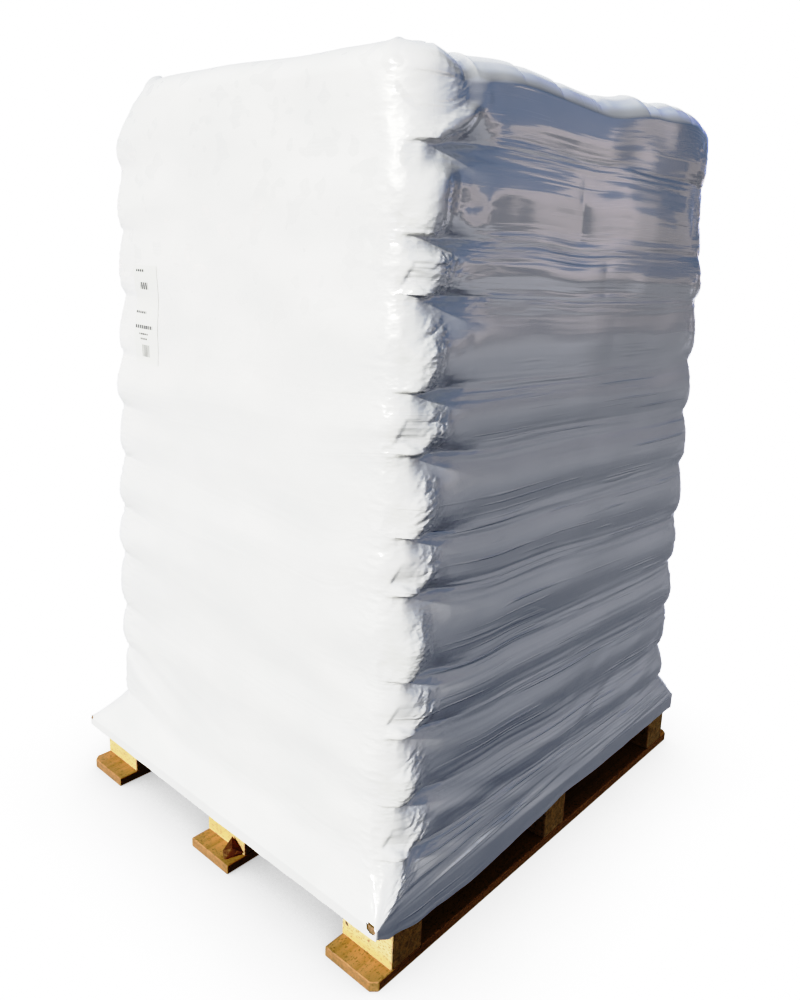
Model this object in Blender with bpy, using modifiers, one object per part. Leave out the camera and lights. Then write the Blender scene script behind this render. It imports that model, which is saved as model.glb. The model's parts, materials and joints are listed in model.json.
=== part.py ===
"""A stretch-wrapped pallet of sacks, standing on its three skids.

The origin is on the floor under the middle of the pallet. X runs across the
pallet (1.0 m), Y along it (1.2 m) and Z is up. The front is the -Y side, where
the skid ends show, and the right is the +X side.
"""

import math

import bmesh
import bpy
from mathutils import Vector

COLLECTION_NAME = "pallet_of_sacks"
HELPERS_NAME = "joined_sacks"

# Gap between a piece and what it rests on or lies against.
REST_GAP = 0.0003
# How near two measures are when they count as the same.
SAME = 0.0001

# The pallet: a chemical-industry pattern, 1000 x 1200 x 138 mm.
PALLET_X = 1.000
PALLET_Y = 1.200
SKID_WIDTH = 0.130
SKID_THICK = 0.021
SKID_CORNER = 0.012
BLOCK_LONG = 0.085
BLOCK_HIGH = 0.078
BLOCK_INSET = 0.045
BOARD_THICK = 0.0195
WIDE_BOARD = 0.130
NARROW_BOARD = 0.100
DECK_BOARDS = (
    WIDE_BOARD,
    NARROW_BOARD,
    NARROW_BOARD,
    WIDE_BOARD,
    NARROW_BOARD,
    NARROW_BOARD,
    WIDE_BOARD,
)
WOOD_BEVEL = 0.0015
PALLET_HIGH = SKID_THICK + BLOCK_HIGH + 2 * BOARD_THICK

# The load: layers of five sacks, three lying across and two along, turned half
# round from one layer to the next. Each layer is pressed thinner than the next.
LAYERS = 12
LOWEST_LAYER_HIGH = 0.104
TOP_LAYER_HIGH = 0.143
CROSS_SACKS = 3
LONG_SACKS = 2
CROSS_SACK_SHARE = 0.6
PRESSED_IN = 0.004
RIM_ROUND = 0.030
LOAD_CENTRE = Vector((0.015, 0.015))
LOW_HALF = Vector((0.480, 0.580))
TOP_HALF = Vector((0.463, 0.563))
LAYER_SWAY = 0.002
LAYER_SWAY_STEP = 2.4

# The film round the load. It dips in between the layers and runs out to the
# edges of the deck below.
FILM_THICK = 0.002
FILM_CORNER = 0.070
NOTCH_DEPTH = 0.012
CREST_RISE = 0.028
DECK_CLEAR = 0.0028
DECK_FILM_CORNER = 0.003
FLARE_SHARE = 0.45
FLARE_CORNER = 0.045
FLARE_RISE = 0.030
HEM_FRONT = 0.124
HEM_SIDE = 0.087
CORNER_STEPS = 4
SIDE_STOPS = (0.1, 0.5, 0.9)
FILM_OVER_TOP = 0.075
FILM_EDGE_CORNER = 0.020
CORNER_RISE = 0.018
CORNER_RISE_REACH = 0.22

# The sheet over the top of the load, under the edge of the film.
SHEET_THICK = 0.0012
SHEET_UNDER_FILM = 0.0025
SHEET_SKIRT = 0.035
SHEET_FLAT_FROM = 0.200

# Clearance from the film's outer face to the sacks behind it.
SACK_BEHIND_FILM = FILM_THICK + 0.0004
TOP_SACK_BEHIND_FILM = 0.0045

# The label on the front, near the left edge.
LABEL_LEFT = -0.325
LABEL_WIDE = 0.095
LABEL_LOW = 1.060
LABEL_HIGH = 1.270
LABEL_THICK = 0.0004
LABEL_CLEAR = 0.0008

# The loose offcut on the front end of the middle skid: its foot on the skid in
# plan, and its raised corners, measured up from the skid.
OFFCUT_FOOT = (
    Vector((0.0450, -0.5915)),
    Vector((0.0413, -0.5922)),
    Vector((0.0280, -0.5556)),
    Vector((0.0535, -0.5556)),
)
OFFCUT_SHOULDER = Vector((0.0383, -0.5922, 0.0192))
OFFCUT_NOSE = Vector((0.0526, -0.5780, 0.0254))
OFFCUT_HEEL = Vector((0.0630, -0.5556, 0.0080))
OFFCUT_TIP = Vector((0.0297, -0.5600, 0.0326))

# Colour, roughness and metallic of each material.
FINISHES = {
    "pine": ((0.82, 0.66, 0.36), 0.75, 0.0),
    "weathered_pine": ((0.55, 0.33, 0.13), 0.80, 0.0),
    "offcut_wood": ((0.16, 0.06, 0.02), 0.85, 0.0),
    "sack_film": ((0.78, 0.78, 0.76), 0.55, 0.0),
    "stretch_film": ((0.90, 0.90, 0.89), 0.30, 0.0),
    "cover_film": ((0.86, 0.87, 0.88), 0.35, 0.0),
    "label_paper": ((0.88, 0.88, 0.86), 0.60, 0.0),
}


def clear_scene():
    """Removes what the scene starts with."""
    for obj in list(bpy.data.objects):
        bpy.data.objects.remove(obj, do_unlink=True)


def new_collection(name):
    collection = bpy.data.collections.new(name)
    bpy.context.scene.collection.children.link(collection)
    return collection


def make_material(name):
    colour, roughness, metallic = FINISHES[name]
    material = bpy.data.materials.new(name)
    material.use_nodes = True
    shader = material.node_tree.nodes["Principled BSDF"]
    shader.inputs["Base Color"].default_value = (*colour, 1.0)
    shader.inputs["Roughness"].default_value = roughness
    shader.inputs["Metallic"].default_value = metallic
    material.diffuse_color = (*colour, 1.0)
    return material


def add_object(name, shape, collection, material=None, place=(0.0, 0.0, 0.0)):
    """Turns a bmesh into a named object at its place."""
    mesh = bpy.data.meshes.new(name)
    shape.to_mesh(mesh)
    shape.free()
    obj = bpy.data.objects.new(name, mesh)
    obj.location = place
    collection.objects.link(obj)
    if material:
        mesh.materials.append(material)
    return obj


def box_shape(size):
    """A box of this size about its own centre."""
    shape = bmesh.new()
    bmesh.ops.create_cube(shape, size=1.0)
    bmesh.ops.scale(shape, vec=size, verts=shape.verts)
    return shape


def upright_edges(shape):
    """The edges that run along Z."""
    found = []
    for edge in shape.edges:
        run = edge.verts[1].co - edge.verts[0].co
        if run.to_2d().length < SAME:
            found.append(edge)
    return found


def level_edges(shape):
    """The edges that lie level."""
    found = []
    for edge in shape.edges:
        run = edge.verts[1].co - edge.verts[0].co
        if abs(run.z) < SAME:
            found.append(edge)
    return found


def round_edges(shape, edges, radius, segments):
    bmesh.ops.bevel(
        shape,
        geom=edges,
        offset=radius,
        offset_type="OFFSET",
        segments=segments,
        profile=0.5,
        affect="EDGES",
    )


def add_board(name, low, high, collection, material, corners_to_cut=()):
    """A sawn board between two corners, with the plan corners given cut off."""
    low = Vector(low)
    high = Vector(high)
    shape = box_shape(high - low)
    if corners_to_cut:
        edges = []
        for edge in upright_edges(shape):
            corner = edge.verts[0].co
            if (corner.x > 0, corner.y > 0) in corners_to_cut:
                edges.append(edge)
        round_edges(shape, edges, SKID_CORNER, 1)
    board = add_object(name, shape, collection, material, (low + high) / 2)
    bevel = board.modifiers.new("worn_edges", "BEVEL")
    bevel.width = WOOD_BEVEL
    bevel.segments = 1
    return board


def skid_centres():
    """X of the middle of each skid."""
    reach = (PALLET_X - SKID_WIDTH) / 2
    return {"left": -reach, "middle": 0.0, "right": reach}


def block_row_centres():
    """Y of the middle of each row of blocks."""
    reach = PALLET_Y / 2 - BLOCK_INSET - BLOCK_LONG / 2
    return {"front": -reach, "middle": 0.0, "back": reach}


def make_skids(collection, material):
    """The three bottom boards, along Y. The outer ones have cut corners."""
    cuts = {
        "left": ((False, False), (False, True)),
        "middle": (),
        "right": ((True, False), (True, True)),
    }
    for side, x in skid_centres().items():
        add_board(
            f"skid_{side}",
            (x - SKID_WIDTH / 2, -PALLET_Y / 2, 0.0),
            (x + SKID_WIDTH / 2, PALLET_Y / 2, SKID_THICK),
            collection,
            material,
            cuts[side],
        )


def make_blocks(collection, material):
    for row, y in block_row_centres().items():
        for side, x in skid_centres().items():
            add_board(
                f"block_{row}_{side}",
                (x - SKID_WIDTH / 2, y - BLOCK_LONG / 2, SKID_THICK + REST_GAP),
                (x + SKID_WIDTH / 2, y + BLOCK_LONG / 2, SKID_THICK + BLOCK_HIGH - REST_GAP),
                collection,
                material,
            )


def make_stringers(collection, material):
    """The three boards along X, one over each row of blocks."""
    low = SKID_THICK + BLOCK_HIGH
    for row, y in block_row_centres().items():
        add_board(
            f"stringer_{row}",
            (-PALLET_X / 2, y - BLOCK_LONG / 2, low),
            (PALLET_X / 2, y + BLOCK_LONG / 2, low + BOARD_THICK - REST_GAP),
            collection,
            material,
        )


def make_deck(collection, material):
    """The deck boards along Y, evenly spaced across the pallet."""
    gap = (PALLET_X - sum(DECK_BOARDS)) / (len(DECK_BOARDS) - 1)
    left = -PALLET_X / 2
    for number, width in enumerate(DECK_BOARDS, start=1):
        add_board(
            f"deck_board_{number}",
            (left, -PALLET_Y / 2, PALLET_HIGH - BOARD_THICK),
            (left + width, PALLET_Y / 2, PALLET_HIGH),
            collection,
            material,
        )
        left += width + gap


def make_offcut(collection, material):
    """A loose split chunk of wood that stands on the middle skid."""
    lift = Vector((0.0, 0.0, SKID_THICK + REST_GAP))
    shape = bmesh.new()
    for foot in OFFCUT_FOOT:
        shape.verts.new(foot.to_3d() + lift)
    for corner in (OFFCUT_SHOULDER, OFFCUT_NOSE, OFFCUT_HEEL, OFFCUT_TIP):
        shape.verts.new(corner + lift)
    bmesh.ops.convex_hull(shape, input=shape.verts)
    bmesh.ops.recalc_face_normals(shape, faces=shape.faces)
    add_object("wood_offcut", shape, collection, material)


def layer_heights():
    """The bottom and top of each layer."""
    step = (TOP_LAYER_HIGH - LOWEST_LAYER_HIGH) / (LAYERS - 1)
    levels = [PALLET_HIGH]
    for number in range(LAYERS):
        levels.append(levels[-1] + LOWEST_LAYER_HIGH + step * number)
    return list(zip(levels[:-1], levels[1:]))


def layer_half(number):
    """Half the plan of the film round this layer. The load narrows upwards."""
    share = number / (LAYERS - 1)
    sway = LAYER_SWAY * math.sin(LAYER_SWAY_STEP * number)
    return LOW_HALF.lerp(TOP_HALF, share) + Vector((sway, -sway))


def sack_spans(half):
    """The plan corners of the five sacks of a layer, about its centre."""
    split = -half.x + 2 * half.x * CROSS_SACK_SHARE
    spans = []
    for left, right, count in ((-half.x, split, CROSS_SACKS), (split, half.x, LONG_SACKS)):
        width = 2 * half.y / count
        for place in range(count):
            near = -half.y + width * place
            spans.append((Vector((left, near)), Vector((right, near + width))))
    return spans


def sack_shape(low, high, thick, half):
    """One sack. Its corner at a corner of the layer is round in plan, and its
    rims are cut back. It runs a little into each neighbour, which leaves a groove."""
    grown_low = Vector(max(a - PRESSED_IN, -b) for a, b in zip(low, half))
    grown_high = Vector(min(a + PRESSED_IN, b) for a, b in zip(high, half))
    size = grown_high - grown_low
    middle = (grown_low + grown_high) / 2
    shape = box_shape((size.x, size.y, thick))
    bmesh.ops.translate(shape, vec=middle.to_3d(), verts=shape.verts)
    outer = []
    inner = []
    for edge in upright_edges(shape):
        corner = edge.verts[0].co.to_2d()
        at_corner = all(abs(abs(a) - b) < SAME for a, b in zip(corner, half))
        (outer if at_corner else inner).append(edge)
    if outer:
        round_edges(shape, outer, FILM_CORNER - SACK_BEHIND_FILM, CORNER_STEPS // 2)
    round_edges(shape, level_edges(shape) + inner, RIM_ROUND, 1)
    return shape


def make_sack_layer(number, low, high, collection, material):
    """One solid for a layer, with the gaps between its sacks cut into its faces."""
    behind = TOP_SACK_BEHIND_FILM if number == LAYERS - 1 else SACK_BEHIND_FILM
    half = layer_half(number) - Vector((behind, behind))
    thick = high - low - REST_GAP
    place = Vector((*LOAD_CENTRE, (low + high + REST_GAP) / 2))
    turn = math.pi * (number % 2)
    name = f"sack_layer_{number + 1:02d}"
    helpers = bpy.data.collections.new(f"{HELPERS_NAME}_{number + 1:02d}")
    bpy.data.collections[HELPERS_NAME].children.link(helpers)
    sacks = [sack_shape(left, right, thick, half) for left, right in sack_spans(half)]
    layer = add_object(name, sacks[0], collection, material, place)
    layer.rotation_euler.z = turn
    for place_in_layer, shape in enumerate(sacks[1:], start=2):
        helper = add_object(f"{name}_sack_{place_in_layer}", shape, helpers, None, place)
        helper.rotation_euler.z = turn
        helper.hide_render = True
        helper.display_type = "WIRE"
    join = layer.modifiers.new("joined_sacks", "BOOLEAN")
    join.operation = "UNION"
    join.operand_type = "COLLECTION"
    join.collection = helpers
    join.solver = "EXACT"


def outline(centre, half, radius):
    """The plan points of a rounded rectangle, from its front left corner round."""
    points = []
    corners = ((-1, -1), (1, -1), (1, 1), (-1, 1))
    for number, (sign_x, sign_y) in enumerate(corners):
        turn_centre = Vector((sign_x * (half.x - radius), sign_y * (half.y - radius)))
        first = math.pi + number * math.pi / 2
        for step in range(CORNER_STEPS + 1):
            angle = first + step * math.pi / 2 / CORNER_STEPS
            points.append(turn_centre + radius * Vector((math.cos(angle), math.sin(angle))))
        next_x, next_y = corners[(number + 1) % 4]
        next_centre = Vector((next_x * (half.x - radius), next_y * (half.y - radius)))
        last = points[-1]
        away = last - turn_centre
        for stop in SIDE_STOPS:
            points.append(last.lerp(next_centre + away, stop))
    return [centre + point for point in points]


def hem_height(point):
    """The film's lower edge. It hangs lower along the sides than at the ends."""
    if abs(point.y) < PALLET_Y / 2 - DECK_FILM_CORNER and abs(point.x) > PALLET_X / 2:
        return HEM_SIDE
    return HEM_FRONT


def rise_at_corner(point):
    """How far the film stands up over the front left and back right corners."""
    rise = 0.0
    for sign in (-1, 1):
        corner = LOAD_CENTRE + sign * TOP_HALF
        away = (point - corner).length / CORNER_RISE_REACH
        rise += CORNER_RISE * max(0.0, 1.0 - away)
    return rise


def film_levels():
    """Height, half plan, centre and corner radius of the film, from the deck up."""
    middle = Vector((0.0, 0.0))
    deck_half = Vector((PALLET_X / 2 + DECK_CLEAR, PALLET_Y / 2 + DECK_CLEAR))
    levels = [(PALLET_HIGH, deck_half, middle, DECK_FILM_CORNER)]
    heights = layer_heights()
    first_half = layer_half(0)
    levels.append(
        (
            PALLET_HIGH + FLARE_RISE,
            deck_half.lerp(first_half, FLARE_SHARE),
            middle.lerp(LOAD_CENTRE, FLARE_SHARE),
            FLARE_CORNER,
        )
    )
    for number, (low, high) in enumerate(heights):
        half = layer_half(number)
        if number:
            notch = (half + layer_half(number - 1)) / 2 - Vector((NOTCH_DEPTH, NOTCH_DEPTH))
            levels.append((low, notch, LOAD_CENTRE, FILM_CORNER - NOTCH_DEPTH))
            levels.append((low + CREST_RISE, half, LOAD_CENTRE, FILM_CORNER))
        if number < LAYERS - 1:
            levels.append((high - CREST_RISE, half, LOAD_CENTRE, FILM_CORNER))
    return levels


def shoulder_levels(inward):
    """The levels that turn in over the top sacks, this far inside the film's face.
    The last one is the film's upper edge."""
    half = layer_half(LAYERS - 1)
    top = layer_heights()[-1][1]
    radius = RIM_ROUND + TOP_SACK_BEHIND_FILM - inward
    levels = []
    for angle in (0.0, math.pi / 4, math.pi / 2):
        inset = inward + radius * (1 - math.cos(angle))
        height = top - RIM_ROUND + radius * math.sin(angle)
        levels.append(
            (height, half - Vector((inset, inset)), LOAD_CENTRE, FILM_CORNER - inset)
        )
    edge_half = half - Vector((FILM_OVER_TOP, FILM_OVER_TOP))
    levels.append((height, edge_half, LOAD_CENTRE, FILM_EDGE_CORNER))
    return levels


def loft(rings, close_top=False):
    """An open tube through rings of points of the same count."""
    shape = bmesh.new()
    rows = [[shape.verts.new(point) for point in ring] for ring in rings]
    for lower, upper in zip(rows, rows[1:]):
        for index, vertex in enumerate(lower):
            following = (index + 1) % len(lower)
            shape.faces.new((vertex, lower[following], upper[following], upper[index]))
    if close_top:
        shape.faces.new(rows[-1])
    return shape


def rings_from(levels, with_rise_from=None):
    """The points of each level. Levels from this height on rise at two corners."""
    rings = []
    for height, half, centre, radius in levels:
        ring = []
        for point in outline(centre, half, radius):
            rise = 0.0
            if with_rise_from is not None and height > with_rise_from:
                rise = rise_at_corner(point)
            ring.append(Vector((point.x, point.y, height + rise)))
        rings.append(ring)
    return rings


def thicken(obj, thickness):
    """Makes an open skin a closed shell, to the inside of it."""
    solidify = obj.modifiers.new("film_thickness", "SOLIDIFY")
    solidify.thickness = thickness
    solidify.offset = -1.0


def make_film(collection, material):
    """The stretch film: a tube, open below the deck and over the top."""
    shoulders = shoulder_levels(0.0)
    rings = rings_from(film_levels() + shoulders, shoulders[0][0])
    hem = [Vector((point.x, point.y, hem_height(point))) for point in rings[0]]
    film = add_object("stretch_wrap", loft([hem] + rings), collection, material)
    thicken(film, FILM_THICK)
    film.data.shade_smooth()


def make_cover_sheet(collection, material):
    """The sheet over the top, with its skirt down inside the film."""
    shoulders = shoulder_levels(SHEET_UNDER_FILM)
    height, half, centre, radius = shoulders[0]
    skirt = (height - SHEET_SKIRT, half, centre, radius)
    flat_half = half - Vector((SHEET_FLAT_FROM, SHEET_FLAT_FROM))
    flat = (shoulders[-1][0], flat_half, centre, FILM_EDGE_CORNER)
    rings = rings_from([skirt] + shoulders + [flat], shoulders[0][0])
    sheet = add_object("top_sheet", loft(rings, close_top=True), collection, material)
    thicken(sheet, SHEET_THICK)
    sheet.data.shade_smooth()


def film_front(height):
    """Y of the film's front face at a height, between the levels of its loft."""
    levels = film_levels()
    for (low, low_half, low_centre, _), (high, high_half, high_centre, _) in zip(levels, levels[1:]):
        if low <= height <= high:
            share = (height - low) / (high - low)
            below = low_centre.y - low_half.y
            above = high_centre.y - high_half.y
            return below + share * (above - below)
    raise ValueError(f"no film at {height}")


def make_label(collection, material):
    """A paper label that follows the dips of the film on the front."""
    stops = [height for height, *_ in film_levels() if LABEL_LOW < height < LABEL_HIGH]
    shape = bmesh.new()
    rows = []
    for height in [LABEL_LOW] + stops + [LABEL_HIGH]:
        y = film_front(height) - LABEL_CLEAR
        rows.append(
            [shape.verts.new((LABEL_LEFT + side * LABEL_WIDE, y, height)) for side in (0, 1)]
        )
    for lower, upper in zip(rows, rows[1:]):
        shape.faces.new((lower[0], lower[1], upper[1], upper[0]))
    label = add_object("label", shape, collection, material)
    thicken(label, LABEL_THICK)


def main():
    clear_scene()
    parts = new_collection(COLLECTION_NAME)
    new_collection(HELPERS_NAME)
    finish = {name: make_material(name) for name in FINISHES}
    make_skids(parts, finish["weathered_pine"])
    make_blocks(parts, finish["pine"])
    make_stringers(parts, finish["pine"])
    make_deck(parts, finish["pine"])
    make_offcut(parts, finish["offcut_wood"])
    for number, (low, high) in enumerate(layer_heights()):
        make_sack_layer(number, low, high, parts, finish["sack_film"])
    make_film(parts, finish["stretch_film"])
    make_cover_sheet(parts, finish["cover_film"])
    make_label(parts, finish["label_paper"])


main()
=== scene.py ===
"""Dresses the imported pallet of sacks: stretch film, cover sheet, sacks, label and pallet wood.

It is laid out as an add-on and run as a script. Lengths are in metres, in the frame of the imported
model: the front, with the skid ends, faces -Y, and the longer right side faces +X.
"""

import json
import math

import bmesh
import bpy
import numpy as np
from mathutils import Matrix, Vector
from mathutils.bvhtree import BVHTree

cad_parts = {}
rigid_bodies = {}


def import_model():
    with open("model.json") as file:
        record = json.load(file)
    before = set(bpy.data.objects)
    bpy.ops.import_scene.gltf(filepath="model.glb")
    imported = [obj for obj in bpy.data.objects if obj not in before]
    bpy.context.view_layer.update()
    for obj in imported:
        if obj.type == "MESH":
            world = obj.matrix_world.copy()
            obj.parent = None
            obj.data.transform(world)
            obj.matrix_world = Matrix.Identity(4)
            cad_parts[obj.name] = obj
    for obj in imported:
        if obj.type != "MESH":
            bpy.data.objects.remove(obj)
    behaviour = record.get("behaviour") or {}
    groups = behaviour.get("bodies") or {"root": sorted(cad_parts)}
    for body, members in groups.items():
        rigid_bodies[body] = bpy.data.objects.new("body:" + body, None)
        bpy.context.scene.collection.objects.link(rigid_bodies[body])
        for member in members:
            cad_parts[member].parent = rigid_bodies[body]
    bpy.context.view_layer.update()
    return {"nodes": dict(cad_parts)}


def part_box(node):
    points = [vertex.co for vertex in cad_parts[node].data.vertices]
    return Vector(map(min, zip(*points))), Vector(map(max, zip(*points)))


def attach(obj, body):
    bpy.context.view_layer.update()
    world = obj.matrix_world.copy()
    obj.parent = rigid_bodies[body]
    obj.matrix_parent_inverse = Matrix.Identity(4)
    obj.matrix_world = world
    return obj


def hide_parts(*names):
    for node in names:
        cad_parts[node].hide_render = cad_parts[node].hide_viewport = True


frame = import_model()

bl_info = {
    "name": "Pallet of sacks",
    "version": (1, 0, 0),
    "blender": (4, 5, 0),
    "location": "3D View > Sidebar > Pallet",
    "description": "Adds the film, sacks, cover sheet, label, wood and studio of a pallet of sacks",
    "category": "Object",
}

LAYERS = 12
SACK_NODES = tuple(f"sack_layer_{number:02d}" for number in range(1, LAYERS + 1))

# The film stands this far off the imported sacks, and further off the top ones.
FILM_OFF_SACKS = 0.0024
FILM_OFF_TOP_SACKS = 0.0045

# One turn round the load, from the left end of the front: four flat runs, each with a corner after it.
# The radius of the load's corners, of the deck's, and the least that they have over the top edge.
FRONT_RUN = 0.80
SIDE_RUN = 1.00
LOAD_CORNER = 0.072
DECK_CORNER = 0.004
LEAST_CORNER = 0.012
CORNER_RUN = LOAD_CORNER * math.pi / 2
FLAT_RUNS = (FRONT_RUN, SIDE_RUN, FRONT_RUN, SIDE_RUN)
CORNER_SIGNS = ((1, -1), (1, 1), (-1, 1), (-1, -1))
RING = sum(FLAT_RUNS) + 4 * CORNER_RUN
NEAR = FRONT_RUN + CORNER_RUN / 2
FAR = NEAR + SIDE_RUN + CORNER_RUN
BACK = FAR + FRONT_RUN + CORNER_RUN
LEFT = RING - CORNER_RUN / 2

# Heights of the eleven notches between the layers, read at three corners of the load.
NOTCHES_NEAR = (0.237, 0.346, 0.477, 0.586, 0.740, 0.841, 0.987, 1.089, 1.240, 1.335, 1.480)
NOTCHES_FAR = (0.205, 0.300, 0.420, 0.538, 0.673, 0.812, 0.950, 1.077, 1.225, 1.330, 1.490)
NOTCHES_LEFT = (0.220, 0.345, 0.454, 0.592, 0.703, 0.826, 0.948, 1.067, 1.196, 1.337, 1.461)

# A layer stands out furthest at this share of its height. Then how round its notches are.
CREST = 0.36
NOTCH_ROUND = 0.17

# The top edge of the film: how far round the load, and how high it stands there.
TOP_EDGE = (
    (0.02, 1.646),
    (0.32, 1.641),
    (0.60, 1.631),
    (NEAR - 0.06, 1.630),
    (NEAR + 0.05, 1.620),
    (NEAR + 0.27, 1.636),
    (NEAR + 0.55, 1.627),
    (NEAR + 0.77, 1.653),
    (FAR - 0.15, 1.663),
    (FAR, 1.645),
    (FAR + 0.40, 1.640),
    (BACK, 1.648),
    (BACK + 0.50, 1.636),
    (LEFT - 0.06, 1.640),
    (LEFT, 1.650),
)

# The film's lower edge, the same way.
HEM_EDGE = (
    (0.02, 0.117),
    (0.40, 0.113),
    (NEAR - 0.12, 0.1155),
    (NEAR - 0.03, 0.117),
    (NEAR + 0.05, 0.121),
    (NEAR + 0.09, 0.100),
    (NEAR + 0.155, 0.085),
    (NEAR + 0.30, 0.077),
    (NEAR + 0.50, 0.092),
    (NEAR + 0.58, 0.103),
    (NEAR + 0.72, 0.097),
    (NEAR + 1.00, 0.100),
    (FAR, 0.094),
    (FAR + 0.10, 0.116),
    (BACK - 0.06, 0.118),
    (BACK + 0.06, 0.094),
    (BACK + 0.50, 0.090),
    (LEFT - 0.25, 0.098),
    (LEFT - 0.06, 0.114),
    (LEFT, 0.116),
)

# How deep the film dips between the layers round the load.
SIDE_DIPS = (
    (0.12, 0.0040),
    (0.28, 0.0012),
    (0.62, 0.0012),
    (NEAR - 0.12, 0.0035),
    (NEAR + 0.15, 0.0070),
    (FAR - 0.12, 0.0075),
    (FAR + 0.40, 0.0070),
    (BACK + 0.40, 0.0070),
)

# Where the film's top edge is tucked over on the right side: how far from the near corner, how wide
# the tuck is, and how deep.
TUCKS = (
    (0.25, 0.050, 0.005),
    (0.375, 0.050, 0.010),
    (0.52, 0.060, 0.004),
    (0.72, 0.130, 0.014),
    (0.93, 0.090, 0.014),
    (1.02, 0.050, 0.010),
)

# The small slits where the thin layers' film is pleated at the near corner: share of the layer's
# height, and depth. Then how high a slit is, and how it rises away from the corner.
PLEAT_SLITS = ((0.15, 0.0032), (0.27, 0.0018), (0.38, 0.0012), (0.52, 0.0016))
SLIT_HEIGHT = 0.0030
SLIT_SLOPE = 0.1

# The holes that the deck's front corners have torn in the film: middle and half sizes.
CORNER_HOLES = (
    ((0.488, -0.603, 0.1345), (0.0115, 0.012, 0.0085)),
    ((-0.502, -0.603, 0.1375), (0.0090, 0.007, 0.0050)),
)

# The random waves and folds: how long one is round the load, how high, and its seed. NOTCH_SWAY's
# seed is the first of eleven.
BROAD_SWAY = (0.34, 0.115, 3)
SMALL_SWAY = (0.11, 0.06, 4)
SACK_GAPS = (0.42, 1.0, 7)
ROPE_SWAY = (0.9, 1.0, 11)
ROPES = (0.55, 0.0100, 12)
FINE_ROPES = (0.34, 0.0052, 13)
ROPE_BUNDLES = (0.60, 0.055, 14)
LONG_FOLDS = (0.90, 0.075, 15)
TEETH = (0.026, 0.0115, 17)
SMALL_TEETH = (0.013, 0.0062, 18)
CRISP_FOLDS = (0.050, 0.0080, 19)
PLEATS = (0.09, 0.0068, 21)
BIG_CRUMPLES = (0.055, 0.060, 22)
CRUMPLES = (0.026, 0.016, 23)
DIMPLES = (0.030, 0.034, 24)
SKIRT_PULLS = (0.5, 0.030, 27)
HEM_FOLDS = (0.55, 0.0095, 28)
HEM_WAVES = (0.03, 1.0, 31)
TOP_WRINKLES = (0.085, 1.0, 35)
OVER_RIPPLES = (0.035, 0.03, 37)
NOTCH_SWAY = (0.17, 1.0, 40)

# How far those waves and folds, and the larger forms, move the film.
BROAD_SWAY_DEPTH = 0.0075
SMALL_SWAY_DEPTH = 0.0016
SMALL_SWAY_DEPTH_NEAR = 0.0022
SACK_GAP_DEPTH = 0.0008
LONG_FOLD_DEPTH = 0.0078
CRISP_FOLD_DEPTH = 0.0012
BIG_CRUMPLE_DEPTH = 0.010
CRUMPLE_DEPTH = 0.0030
DIMPLE_DEPTH = 0.0016
DIMPLE_DEPTH_HIGH_UP = 0.0020
SKIRT_PULL_DEPTH = 0.005
HEM_FOLD_DEPTH = 0.005
HEM_WAVE_DEPTH = 0.0014
WRINKLE_HEIGHT = 0.004
RIPPLE_HEIGHT = 0.003
NOTCH_SWAY_HEIGHT = 0.008
NOSE_DEPTH = 0.009
FAR_TOP_IN = 0.014
LOW_CORNERS_IN = 0.012
LEFT_CORNER_DROOP = 0.060
LEFT_KNOB_HEIGHT = 0.012

# The film's mesh: widths of its columns at the near corner, on the two sides beside it and at the
# back; the most that a column is wide where a tuck begins; and how near a corner columns stand
# closer. Then the rows in a layer, the hem, the turn over the top edge and the part on top.
COLUMN_WIDTHS = (0.0023, 0.0085, 0.0160)
TUCK_COLUMN = 0.003
CORNER_REACH = 0.12
LAYER_ROWS = 42
HEM_ROWS = 12
TURN_ROWS = 14
OVER_ROWS = 12

# The mean height of a layer, to measure how far up the film is in the layers' own steps.
MEAN_LAYER = 0.122

# What the top band of film has more than its plain height.
FILM_OVER_EDGE = 0.07

# The cover sheet: its folds, measured in halves of its width and length, and how high they are; the
# radius of its corners in plan; the height of its middle, how much it crowns over the sacks and how
# far its edge drops and lies under the film's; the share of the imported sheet's plan; its points
# across and along; how far it stays clear of the film, and how far the film on top lies off it.
SHEET_FOLDS = (0.16, 0.13, 51)
SHEET_FOLD_HEIGHT = 0.007
FINE_SHEET_FOLDS = (0.06, 0.05, 52)
FINE_SHEET_FOLD_HEIGHT = 0.003
SHEET_CORNER = 0.075
SHEET_MIDDLE = 1.628
SHEET_CROWN = 0.010
SHEET_EDGE_DROP = 0.040
SHEET_UNDER_EDGE = 0.004
SHEET_SHARE = 0.975
SHEET_GRID = (150, 180)
SHEET_ROOM = 0.003
FILM_OFF_SHEET = 0.0035

# The label: its points across and up, how far it lies off the film, and the layer at its middle.
LABEL_GRID = (110, 160)
LABEL_LIFT = 0.0008
LABEL_LAYER = 8

# The sacks: the gap left round each and above and below it, the share of the load's width that the
# three take, how far they stay clear of the film, and how near the load's middle that is sure.
SACK_GAP = 0.004
LAYER_GAP = 0.0005
THREE_SHARE = 0.6
SACK_ROOM = 0.004
MIDDLE_REACH = 0.25


def smooth(value):
    """Eases a share from 0 to 1."""
    value = np.clip(value, 0.0, 1.0)
    return value * value * (3 - 2 * value)


def bump_at(value, centre, width):
    """A soft bump, 1 at its centre and almost 0 at twice its width."""
    return np.exp(-(((value - centre) / width) ** 2))


def skewed_bump(value, centre, before, after):
    """A soft bump that is wider on one side of its centre than on the other."""
    return np.exp(-(((value - centre) / np.where(value < centre, before, after)) ** 2))


def rising(value, start, over):
    """Eases from 0 at its start to 1 this far on."""
    return smooth((value - start) / over)


def falling(value, end, over):
    """Eases from 1 to 0, which it reaches at its end."""
    return smooth((end - value) / over)


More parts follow.
